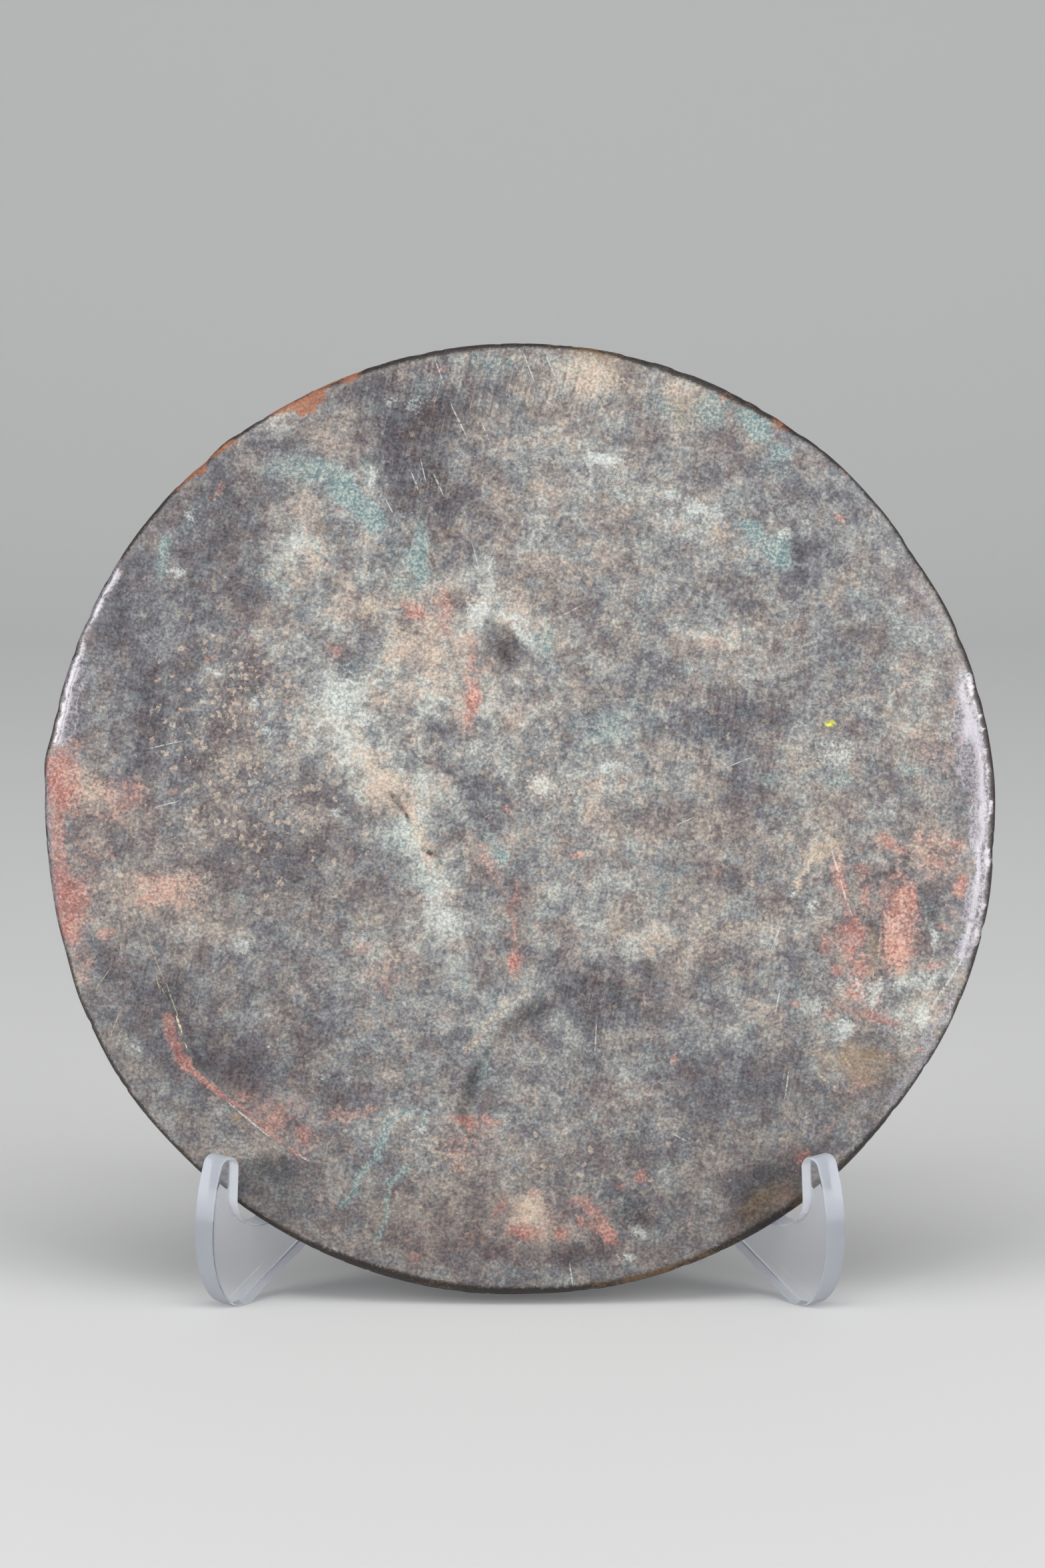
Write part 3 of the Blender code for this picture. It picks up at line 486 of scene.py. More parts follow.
        (1.0, 37.5, 1.4, 3.2, 30, 0.84), (-45.5, 58.5, 2.2, 3.6, 10, 0.62), (-48, 55, 2.0, 1.6, 0, 0.5),
        (-30.6, 71.4, 1.3, 2.8, -6, 0.80), (17.6, 75.2, 3.0, 1.3, -8, 1.20),
        (15.4, 73.6, 2.4, 0.5, 45, 0.6), (31, 67.5, 1.8, 1.2, -20, 0.75),
        (30.6, 62.5, 0.9, 3.2, 0, 0.62), (37, 65.4, 3.2, 1.1, -15, 0.82),
        (41, 63.4, 2.4, 1.0, -45, 0.90), (44, 60, 2.8, 0.8, -55, 0.72), (19, 10.6, 2.6, 1.6, 10, 0.85),
        (4.6, 6.6, 2.2, 1.8, 0, 0.72), (54.6, 60, 1.2, 1.0, 0, 0.85), (24, -86.6, 1.4, 2.2, 35, 0.90),
        (21.8, -92, 1.2, 0.9, 0, 0.80), (-20, -65.3, 1.6, 0.6, 0, 0.85),
        (68.4, -44.5, 2.8, 2.4, 30, 0.86), (62, -39.5, 2.2, 1.6, 30, 0.66),
        (84.8, -41.5, 1.7, 2.8, 0, 0.92), (86.5, -34.6, 1.2, 3.6, -20, 0.78),
        (81.4, -34.4, 4.4, 1.2, 20, 0.62), (74.8, -36.4, 1.4, 2.6, 0, 0.80),
        (86.4, -26.0, 1.0, 3.0, 10, 0.66), (67.2, -36.6, 0.8, 2.4, 0, 0.62),
        (79.4, -44.2, 4.4, 0.9, -12, 0.60), (-42, -54, 2.2, 1.8, 0, 0.50),
        (-15.8, -21, 2.8, 2.0, -30, 0.86), (-19, -16, 1.6, 4.0, 15, 0.62),
        (-17, -12, 1.6, 2.6, 10, 0.40), (-40, 27, 4.0, 4.4, 0, 0.52), (-35, 22, 4, 4, 0, 0.44),
        (-20.5, 29, 2.0, 2.6, 0, 0.58), (-24.5, -3.6, 2.6, 1.6, -45, 0.55),
        (-72.6, 19.8, 1.0, 0.9, 0, 0.8), (-55.8, 23.5, 1.1, 0.9, 0, 0.8), (-64.6, 31, 1.3, 1.1, 0, 0.7),
        (-65.4, 26, 1.4, 0.9, 30, 0.7), (-54, 18, 1.6, 1.2, 0, 0.5), (-72, 51.8, 2.2, 1.1, 10, 0.62),
        (-52.5, 82.6, 2.6, 1.6, 20, 0.50), (-27, 87.4, 0.9, 0.8, 0, 0.7),
        (79.5, 46, 1.8, 0.8, 40, 0.62), (68, 51.4, 2.0, 0.7, -20, 0.55), (57, -16, 1.8, 1.4, 0, 0.50),
        (61.5, -18.2, 1.2, 1.2, 0, 0.6), (66, 13.5, 3.6, 2.6, 0, 0.42), (72, -36, 1.6, 2.4, 0, 0.5),
        (-62, -60.5, 3, 1.6, 20, 0.34), (-51.5, -78, 2, 2.4, 0, 0.26), (-68.4, 63.4, 1.0, 0.8, 0, 0.7),
        (-58.4, -26.6, 1.8, 1.5, 0, 0.62), (-81, -49, 1.2, 1.6, 0, 0.45),
        (50, -76.5, 1.8, 1.0, 0, 0.35), (-39, 1.5, 2.2, 0.9, 20, 0.55), (52, 67.5, 1.6, 2.0, 0, 0.36),
        (-22, 87, 2, 1.6, 0, 0.4), (-52, -47, 1.4, 1.0, 0, 0.4), (-11, 92, 1.6, 1.2, 0, 0.3),
    ],
    # ochre, gold and brown stains
    "ochre": [
        (71, -51.5, 8, 4.5, -20, 0.80), (15, 97, 9, 2.4, -8, 0.72), (52, -80, 8, 3, 30, 0.75),
        (44, -86, 6, 2, 25, 0.55), (-47, 88, 5.2, 1.3, 22, 0.40), (34.5, 86, 3.6, 4.5, 0, 0.60),
        (73.6, -27, 0.9, 5, 5, 0.72), (24, -24, 7, 3, 0, 0.30), (-15, 60.3, 3, 0.9, 30, 0.78),
        (-59.6, -61.8, 1.4, 1.1, 0, 0.95), (57, 14, 4, 3, 60, 0.34), (38, -77, 6, 3, 20, 0.30),
        (68, -63, 5, 2.5, 30, 0.32), (20, 94, 2, 1.4, 0, 0.5), (64, -6, 3.6, 2, 50, 0.34),
        (-42, 62, 2.4, 1.2, 0, 0.44), (-35, 43, 3, 3, 0, 0.30), (-16, 72.5, 1.8, 1.6, 0, 0.40),
    ],
    "copper": [
        (-44.8, 87.7, 5.6, 1.5, 27, 1.3), (-40.0, 91.4, 7.5, 0.9, 23, 1.2),
        (-50.6, 85.8, 3.4, 0.9, 30, 1.1), (-62.4, 77.6, 3.6, 0.7, 39, 1.0),
        (-68.6, 72.4, 4.6, 0.7, 43, 1.0), (33, -94.6, 2.2, 0.8, 18, 0.6),
        (-34, -94.2, 3, 0.8, -20, 0.9), (54.4, 83.4, 2.0, 0.8, -34, 0.8),
    ],
    "yellow": [(65, 19.8, 1.2, 0.34, 32, 1.2)],
    # scored lines (x, y) to (x, y) and their width: bright metal, then pale scratches
    "goldScores": [
        ((-78.6, -24.6), (-74.2, -34.6), 0.10), ((-74.2, -34.6), (-71.6, -41.0), 0.14),
        ((-71.8, -41.5), (-70.6, -44.6), 0.36), ((-76.2, -33.0), (-75.4, -36.6), 0.13),
        ((-86.0, -31.4), (-88.8, -35.6), 0.12), ((-83.9, -40.6), (-85.6, -45.0), 0.16),
        ((-70.0, -47.2), (-69.6, -48.0), 0.26), ((-84.2, -26.8), (-83.8, -27.8), 0.12),
        ((75.6, -24.0), (75.0, -29.4), 0.30), ((74.0, -31.0), (73.8, -34.0), 0.30),
        ((67.6, -49.4), (69.4, -52.0), 0.40), ((63.0, -54.0), (64.4, -55.2), 0.40),
    ],
    "paleScores": [
        ((65.4, -6.6), (67.0, -12.6), 0.30), ((67.0, -12.6), (69.4, -20.2), 0.30),
        ((86.0, -40.0), (92.4, -30.0), 0.40), ((-61.0, -59.6), (-52.6, -66.6), 0.28),
        ((-17.8, 96.2), (-16.0, 91.0), 0.20), ((0.6, 98.0), (3.0, 91.6), 0.18),
        ((5.0, 98.2), (7.6, 92.4), 0.20), ((-14.6, 87.0), (-11.2, 80.0), 0.22),
        ((-22.8, 72.6), (-21.4, 69.0), 0.24), ((-18.2, 72.4), (-16.2, 68.0), 0.26),
        ((-28.2, 66.8), (-26.0, 62.8), 0.22), ((-8.2, 83.4), (-6.2, 78.6), 0.18),
        ((15.4, 97.0), (18.2, 92.0), 0.20), ((-20.8, 75.0), (-19.8, 70.6), 0.16),
        ((-7.0, 51.4), (-5.4, 55.4), 0.20), ((-10.0, 57.6), (-8.6, 52.0), 0.18),
        ((55.0, -21.0), (52.6, -27.8), 0.24), ((54.6, -36.0), (53.6, -41.0), 0.22),
        ((56.4, -53.0), (55.6, -58.6), 0.26), ((32.0, -66.0), (34.6, -67.4), 0.22),
        ((16.0, -43.0), (15.6, -49.0), 0.20), ((-78.0, 14.6), (-71.0, 16.2), 0.16),
        ((-76.4, 2.4), (-71.6, 3.6), 0.18), ((33.0, -1.4), (36.4, 0.2), 0.22),
        ((9.0, 42.6), (12.8, 44.6), 0.18), ((-47.0, -70.0), (-44.4, -71.6), 0.24),
        ((49.0, 13.0), (43.0, 10.6), 0.14), ((10.4, -93.6), (11.0, -97.6), 0.24),
    ],
    # patina from bare and dark to thickly crusted, in a warm and a cool tone
    "warmTones": [
        (0.02, paint(86, 77, 78)), (0.26, paint(107, 98, 98)), (0.40, paint(120, 112, 109)),
        (0.45, paint(131, 123, 118)), (0.58, paint(143, 134, 126)), (0.63, paint(154, 144, 135)),
        (0.82, paint(179, 163, 149)), (1.00, paint(194, 176, 160)),
    ],
    "coolTones": [
        (0.02, paint(82, 80, 85)), (0.26, paint(102, 101, 105)), (0.40, paint(115, 115, 118)),
        (0.45, paint(127, 128, 128)), (0.58, paint(139, 140, 138)), (0.63, paint(149, 150, 146)),
        (0.82, paint(175, 177, 169)), (1.00, paint(192, 193, 185)),
    ],
    "colours": {
        "cream": paint(208, 190, 168),
        "green": paint(168, 178, 168),
        "teal": paint(110, 150, 154),
        "turquoise": paint(124, 146, 148),
        "brick": paint(158, 92, 82),
        "salmon": paint(208, 162, 146),
        "white": paint(206, 210, 203),
        "ochre": paint(146, 124, 96),
        # the rim's dark brown, darkened further as painted shade on the edge that turns away
        "rimBrown": paint(36, 27, 23),
        "rimGold": paint(112, 84, 54),
        # light colour of worn bare metal, partly a painted highlight on the rolled edges
        "worn": paint(170, 166, 171),
        "copper": paint(160, 104, 76),
        "yellow": paint(222, 216, 74),
        "gold": paint(226, 208, 172),
        "pinhole": paint(58, 54, 52),
    },
    # how the patches get natural outlines: reach, size of the clouds that push them, and seed
    "warps": {
        "near": (2.3, 5.0, 11), "far": (5.0, 12.0, 31), "slight": (0.9, 4.0, 171), "flake": (1.3, 3.0, 151),
    },
    "crustEverywhere": 0.43,
    # strength and softness of each list of patches, and for flakes how blocky they are too
    "patchKinds": {
        "red": (0.74, 0.85), "cream": (1.0, 0.85), "teal": (1.15, 0.80),
        "white": (0.9, 0.85), "ochre": (0.9, 0.85), "copper": (0.9, 0.85),
    },
    "flakeKind": (0.8, 0.6, 2.8),
    # the unseen back has the same patina, laid out by clouds alone. Patches: strength, where the
    # clouds are taken, their size and seed, and from and to which share of them it shows
    "backPatches": {
        "red": (0.9, (120, 330), 26, 61, 0.62, 0.80),
        "teal": (0.8, (220, 30), 22, 71, 0.60, 0.80),
        "white": (0.8, (20, 230), 14, 81, 0.66, 0.84),
    },
    # zones: least, reach, where the clouds are taken, their size, how many sizes, and seed
    "backZones": {
        "crust": (0.15, 0.7, (300, 100), 38, 4, 51),
        "lively": (0.0, 1.0, (60, 80), 30, 2, 83),
        "warm": (-0.15, 0.3, (90, 40), 34, 3, 84),
        "grime": (0.0, 0.25, (70, 130), 30, 3, 86),
        "crumbs": (0.0, 0.25, (170, 30), 20, 3, 88),
        "rubbed": (0.4, 0.0, (0, 0), 30, 1, 89),
    },
    # heights and depths of the relief, in millimetres
    "relief": {
        "swell": 0.30, "dents": 0.16, "grain": 0.16, "crust": 0.08, "pits": 0.14, "white": 0.22,
        "gouge": 0.55, "gougeLip": 0.12, "thinLine": 0.14, "ridge": 0.28, "ridgeCrack": 0.30,
        "lostFlake": 0.20, "copper": 0.25, "back": 0.35, "backSunk": 0.05,
    },
    "ridge": [(-34, 14), (-29, 7), (-24, 0), (-20, -8), (-16, -20)],
    "ridgeCrack": [(-27, 4.6), (-23.5, -0.6), (-19.6, -7.6), (-16.6, -7)],
    "lostFlake": [(95.5, 8, 3.8, 13, 0, 1.0)],
    "patina": {
        "corner": (137.3, 91.7, 53.1),  # clear of 0, where noise of every size lines up
        # cells per millimetre, detail and roughness of each noise
        "noises": {
            "swirl": (1 / 6.0, 7.0, 0.72), "fine": (1 / 0.62, 2.5, 0.62),
            "brushed": (1.4, 3.0, 0.60), "tooth": (0.72, 4.0, 0.62),
        },
        "brushTurn": -1.36,
        "brushStretch": (0.09, 1.0, 1.0),
        # how far each noise swings the crust's thickness
        "swings": {"flaking": 0.06, "chipping": 0.11, "tooth": 0.25, "grain": 0.35},
        "weatherSwing": (0.95, 1.7),
        "streakSwing": (0.3, 0.9),
        # crumbs: cells per millimetre, and how far their outlines are pushed about
        "crumbScale": 0.62,
        "crumbPush": 1.6,
        "crumbShake": 0.9,
        "crumbBreak": 4.4,
        "crazingScale": 0.42,
        # how ragged and how soft the edges of each kind of patch are
        "edges": {
            "cream": (3.0, 0.30), "ochre": (2.0, 0.34), "teal": (3.0, 0.36), "red": (2.8, 0.36),
            "white": (3.2, 0.32), "rim": (2.2, 0.36), "copper": (2.6, 0.30), "wornAndHighlight": (2.0, 0.30),
        },
        # how fully each colour hides what is under it
        "covers": {
            "turquoise": 0.22, "crumbs": 0.56, "cream": 0.66, "ochre": 0.72, "teal": 0.68,
            "white": 0.74, "yellow": 0.95, "rim": 0.94, "copper": 0.88, "wornAndHighlight": 0.70,
            "pits": 0.60, "crazing": 0.34, "rubbed": 0.34, "pale": 0.75, "gold": 0.80,
        },
        "redCover": (0.56, 0.84),
        "grainTones": (0.74, 1.26),  # the darkest and the lightest specks
        # later ones lie over earlier ones
        "roughness": {
            "bare": 0.36, "crusted": 0.70, "red": 0.62, "teal": 0.78, "white": 0.82, "rim": 0.42,
            "gold": 0.32, "wornAndHighlight": 0.26,
        },
        "metallic": {"bare": 0.14, "crusted": 0.0, "rim": 0.15, "gold": 0.85, "wornAndHighlight": 0.60},
        "bumpHeights": (0.16, 0.60),  # in millimetres, where it is smooth and where corroded
        "bumpStrength": 0.5,
        # faint scratches: turn in radians, length, width and amount
        "rubbing": [(-1.36, 9.0, 0.17, 0.42), (0.45, 12.0, 0.15, 0.20)],
    },
}

millimetre = 0.001
faceRadius = mirror["radius"] - mirror["edgeRoll"]
equator = mirror["backRound"] - mirror["rimDepth"]  # height of the widest ring


def lattice(x, y, seed):
    # smooth noise between 0 and 1 over cells one unit wide, which repeats after many cells
    cells = 64
    values = np.random.default_rng(seed).random((cells, cells))
    column, row = np.floor(x).astype(int), np.floor(y).astype(int)
    fx, fy = x - column, y - row
    fx, fy = fx * fx * (3 - 2 * fx), fy * fy * (3 - 2 * fy)
    left, right = column % cells, (column + 1) % cells
    low, high = row % cells, (row + 1) % cells
    lower = values[left, low] * (1 - fx) + values[right, low] * fx
    upper = values[left, high] * (1 - fx) + values[right, high] * fx
    return lower * (1 - fy) + upper * fy


def clouds(x, y, size, octaves, seed):
    # several sizes of that noise on each other, each moved aside, around 0.5
    total, weight, share = 0.0, 0.0, 1.0
    for octave in range(octaves):
        total = total + share * lattice(x / size + 7.3 * octave, y / size - 3.1 * octave, seed + octave)
        weight += share
        share *= 0.62
        size *= 0.5
    return total / weight


def ease(value, low, high):
    share = np.clip((value - low) / (high - low), 0, 1)
    return share * share * (3 - 2 * share)


def inPatch(x, y, patch):
    # places as shares of a patch's half length and half width, from its middle
    cx, cy, halfLength, halfWidth, turn = patch[:5]
    c, s = math.cos(math.radians(turn)), math.sin(math.radians(turn))
    along = ((x - cx) * c + (y - cy) * s) / halfLength
    across = ((y - cy) * c - (x - cx) * s) / halfWidth
    return along, across


def patches(x, y, listed, softness=0.45, power=2.0):
    # all patches of one list, the strongest where two meet, and blockier for a higher power
    total = np.zeros_like(x)
    for patch in listed:
        along, across = inPatch(x, y, patch)
        strength = patch[5]
        away = (np.abs(along) ** power + np.abs(across) ** power) ** (1 / power)
        total = np.maximum(total, strength * ease(-away, -1 - softness, -1 + softness))
    return total


def softZones(x, y, listed):
    # broad patches, added up
    total = np.zeros_like(x)
    for patch in listed:
        along, across = inPatch(x, y, patch)
        strength = patch[5]
        total = total + strength * np.exp(-0.9 * (along ** 2 + across ** 2))
    return total


def awayFromTrail(x, y, points):
    # distance to the nearest stretch of a trail
    nearest = np.full_like(x, 1e9)
    for (x0, y0), (x1, y1) in zip(points, points[1:]):
        dx, dy = x1 - x0, y1 - y0
        share = np.clip(((x - x0) * dx + (y - y0) * dy) / (dx * dx + dy * dy), 0, 1)
        nearest = np.minimum(nearest, np.hypot(x - x0 - share * dx, y - y0 - share * dy))
    return nearest


def trails(x, y, listed):
    total = np.zeros_like(x)
    for points, width, strength in listed:
        away = awayFromTrail(x, y, points)
        total = np.maximum(total, strength * ease(-away, -width, -width * 0.25))
    return total


def faceHeight(radius):
    return mirror["faceCrown"] * (1 - (radius / faceRadius) ** 2)


def hump(angle, centre, halfWidth):
    # 1 at one angle on the rim, falling to 0 on both sides of it
    apart = np.abs((angle - centre + 180) % 360 - 180)
    return np.where(apart < halfWidth, 0.5 + 0.5 * np.cos(np.pi * apart / halfWidth), 0.0)


def rollWidth(angle):
    wider = mirror["rightEdgeRoll"] - mirror["edgeRoll"]
    return mirror["edgeRoll"] + wider * hump(angle, 0, mirror["rightWear"])


def outlineGrowth(angle):
    worn = sum(depth * hump(angle, centre, half) for centre, half, depth in mirror["outlineWear"])
    # small nicks, all of them inwards
    around = np.radians(angle)
    nicks = clouds(20 + 9 * np.cos(around), 20 + 9 * np.sin(around), 0.35, 3, 90)
    return worn - mirror["nickDepth"] * ease(nicks, 0.52, 0.80) - mirror["inset"]


def fromZero(angle):
    # the vertex at the very right counts as 0 degrees, not as a full turn
    return np.where(angle > 359.999, 0, angle)


def discGrid(steps):
    # a square grid drawn out into a round one: corners (radius share, angle) and quads
    line = np.linspace(-1, 1, steps + 1)
    u, v = np.meshgrid(line, line, indexing="ij")
    wide = np.abs(u) > np.abs(v)
    safeU, safeV = np.where(wide, u, 1), np.where(~wide & (v != 0), v, 1)
    share = np.where(wide, u, v)
    turn = np.where(wide, np.pi / 4 * v / safeU, np.pi / 2 - np.pi / 4 * u / safeV)
    turn = np.where(share < 0, turn + np.pi, turn)
    share = np.abs(share)
    index = np.arange((steps + 1) ** 2).reshape(steps + 1, steps + 1)
    quads = np.stack([index[:-1, :-1], index[1:, :-1], index[1:, 1:], index[:-1, 1:]], -1)
    border = np.where(share.ravel() > 1 - 1e-9)[0]
    around = fromZero(np.degrees(turn.ravel()[border]) % 360)
    border = border[np.argsort(around)]
    return share.ravel(), np.degrees(turn.ravel()) % 360, quads.reshape(-1, 4), border


def edgeRings():
    # (share of the roll's width from its inner edge or None, radius behind it, height)
    rings = []
    for step in range(1, mirror["rollRings"] + 1):
        turn = math.pi / 2 * step / mirror["rollRings"]
        rings.append((math.sin(turn), None, equator * (1 - math.cos(turn))))
    for step in range(1, mirror["backRings"] + 1):
        turn = math.pi / 2 * step / mirror["backRings"]
        radius = mirror["radius"] - mirror["backRound"] * (1 - math.cos(turn))
        rings.append((None, radius, equator - mirror["backRound"] * math.sin(turn)))
    rings.append((None, mirror["radius"] - mirror["rimWall"], -mirror["rimDepth"]))
    return rings


def mirrorPoints():
    # every vertex as radius, angle and height, and the faces between them
    share, angle, faces, border = discGrid(mirror["frontSteps"])
    roll = rollWidth(angle)
    radius = share * (mirror["radius"] - roll)
    height = faceHeight(share * faceRadius)
    radii, angles, heights, allFaces = [radius], [angle], [height], [faces[:, ::-1]]
    ring, count = border, len(share)
    ringAngle = fromZero(angle[border])
    for rollShare, ringRadius, ringHeight in edgeRings():
        if rollShare is not None:
            width = rollWidth(ringAngle)
            ringRadius = mirror["radius"] - width * (1 - rollShare)
        made = np.arange(count, count + len(ring))
        radii.append(np.full(len(ring), 1.0) * ringRadius)
        angles.append(ringAngle)
        heights.append(np.full(len(ring), ringHeight))
        quads = np.stack([ring, made, np.roll(made, -1), np.roll(ring, -1)], -1)
        allFaces.append(quads)
        ring, count = made, count + len(ring)
    backShare, backAngle, backFaces, backBorder = discGrid(mirror["backSteps"])
    panRadius = mirror["radius"] - mirror["rimWall"] - mirror["panFillet"]
    backRadius = backShare * panRadius
    backHeight = faceHeight(backRadius) - mirror["plateThickness"]
    radii.append(backRadius)
    angles.append(backAngle)
    heights.append(backHeight)
    allFaces.append(backFaces + count)
    inner = backBorder + count
    # the rim has twice as many points as the back's border
    stitches = []
    for i in range(len(inner)):
        a, b, c = ring[2 * i], ring[2 * i + 1], ring[(2 * i + 2) % len(ring)]
        p, q = inner[i], inner[(i + 1) % len(inner)]
        stitches += [(a, p, b), (b, p, q), (b, q, c)]
    return np.concatenate(radii), np.concatenate(angles), np.concatenate(heights), allFaces, stitches


def standing(place):
    # from the mirror's own frame to where it stands, leaning back
    upright = Matrix.Rotation(math.radians(90 - mirror["lean"]), 3, "X")
    return place @ np.array(upright).T + np.array(mirror["middle"])


def warped(x, y, reach, size, seed):
    # pushes places about, so that patches get natural outlines
    u, v = x + 400, y + 400
    dx = clouds(u, v, size, 5, seed) - 0.5
    dy = clouds(u, v, size, 5, seed + 20) - 0.5
    return x + 2 * reach * dx, y + 2 * reach * dy


def faceFinish(x, y):
    # how strong each finish is at each place on the face
    nearX, nearY = warped(x, y, *mirror["warps"]["near"])
    farX, farY = warped(nearX, nearY, *mirror["warps"]["far"])
    slightX, slightY = warped(x, y, *mirror["warps"]["slight"])
    flakeX, flakeY = warped(x, y, *mirror["warps"]["flake"])
    finish = {}
    for name in ("crust", "lively", "warm", "grime", "crumbs", "rubbed"):
        finish[name] = softZones(farX, farY, mirror[name])
    finish["crust"] += mirror["crustEverywhere"] - softZones(farX, farY, mirror["bare"])
    finish["crust"] += trails(nearX, nearY, mirror["crustTrails"])
    finish["grime"] += trails(slightX, slightY, mirror["shadeTrails"])
    for name, (strength, softness) in mirror["patchKinds"].items():
        finish[name] = strength * patches(nearX, nearY, mirror[name], softness)
    strength, softness, power = mirror["flakeKind"]
    flakes = strength * patches(flakeX, flakeY, mirror["redFlakes"], softness, power)
    winding = {
        "red": np.maximum(flakes, trails(x, y, mirror["redTrails"])),
        "cream": trails(nearX, nearY, mirror["creamTrails"]),
        "teal": trails(nearX, nearY, mirror["tealTrails"]),
    }
    for name, marks in winding.items():
        finish[name] = np.maximum(finish[name], marks)
    angle = np.degrees(np.arctan2(y, x))
    # worn bare metal on the rolled edges, with a painted highlight in its colour
    finish["wornAndHighlight"] = rimBands(angle, np.hypot(nearX, nearY), mirror["wornAndHighlight"])
    finish["yellow"] = patches(x, y, mirror["yellow"], 0.3)
    return finish


def rimBands(angle, radius, listed):
    # bands along the rim, in millimetres from the middle
    total = np.zeros_like(radius)
    for centre, half, inner, outer, strength in listed:
        band = ease(radius, inner - 0.9, inner + 0.5) * ease(-radius, -outer - 0.5, -outer + 0.4)
        total = np.maximum(total, strength * band * ease(hump(angle, centre, half), 0.0, 0.35))
    return total


def scoreLines(x, y, listed):
    # signed distance from the nearest scored line, and its width there, 0 past its ends
    away, width = np.full_like(x, 9.0), np.zeros_like(x)
    for (x0, y0), (x1, y1), lineWidth in listed:
        length = math.hypot(x1 - x0, y1 - y0)
        ux, uy = (x1 - x0) / length, (y1 - y0) / length
        along = (x - x0) * ux + (y - y0) * uy
        across = (y - y0) * ux - (x - x0) * uy
        beyond = np.maximum(0, np.maximum(-along, along - length))
        nearer = np.hypot(across, beyond) < np.abs(away)
        taper = 0.4 + 0.6 * ease(np.minimum(along, length - along), 0, 0.25 * length)
        away = np.where(nearer, np.copysign(np.hypot(across, beyond), across), away)
        width = np.where(nearer, lineWidth * taper * ease(-beyond, -0.9, 0), width)
    return away, width


def backFinish(x, y):
    finish = {name: np.zeros_like(x) for name in ("cream", "ochre", "copper", "yellow", "wornAndHighlight")}
    for name, (strength, corner, size, seed, low, high) in mirror["backPatches"].items():
        finish[name] = strength * ease(clouds(x + corner[0], y + corner[1], size, 4, seed), low, high)
    for name, (least, reach, corner, size, octaves, seed) in mirror["backZones"].items():
        finish[name] = least + reach * clouds(x + corner[0], y + corner[1], size, octaves, seed)
    return finish


def faceRelief(x, y, finish):
    # height of the worn and corroded face over the true one, in millimetres
    depths = mirror["relief"]
    u, v = x + 200, y + 200
    relief = depths["swell"] * (clouds(u, v, 34, 3, 101) - 0.5)
    relief += depths["dents"] * (clouds(u, v, 7, 4, 111) - 0.5)
    grainy = np.clip(finish["red"] + 0.6 * finish["crust"], 0, 1)
    relief += depths["grain"] * grainy * (clouds(u, v, 2.2, 3, 121) - 0.5)
    relief += depths["crust"] * ease(finish["crust"], 0.45, 0.9)
    relief -= depths["pits"] * ease(clouds(u, v, 1.9, 2, 131), 0.70, 0.86)
    relief += depths["white"] * ease(finish["white"], 0.6, 1.1)
    # the gouge at the lower left with its raised lip, and the thin line that runs on from it
    head, tail, thinLine = (points for points, width, strength in mirror["redTrails"][:3])
    gouge = awayFromTrail(x, y, head + tail[1:])
    relief -= depths["gouge"] * ease(-gouge, -2.2, -0.4)
    relief += depths["gougeLip"] * ease(-np.abs(gouge - 2.6), -0.9, 0)
    relief += depths["thinLine"] * ease(-awayFromTrail(x, y, thinLine), -0.9, 0)
    # the low ridge that ends in the pale patch, and the cracks along it
    relief += depths["ridge"] * ease(-awayFromTrail(x, y, mirror["ridge"]), -3.4, 0)
    relief -= depths["ridgeCrack"] * ease(-awayFromTrail(x, y, mirror["ridgeCrack"]), -0.9, 0)
    # flakes have come off inside the right-hand edge and at the upper left
    relief -= depths["lostFlake"] * patches(x, y, mirror["lostFlake"], 0.10)
    relief -= depths["copper"] * ease(finish["copper"], 0.4, 0.6)
    return relief


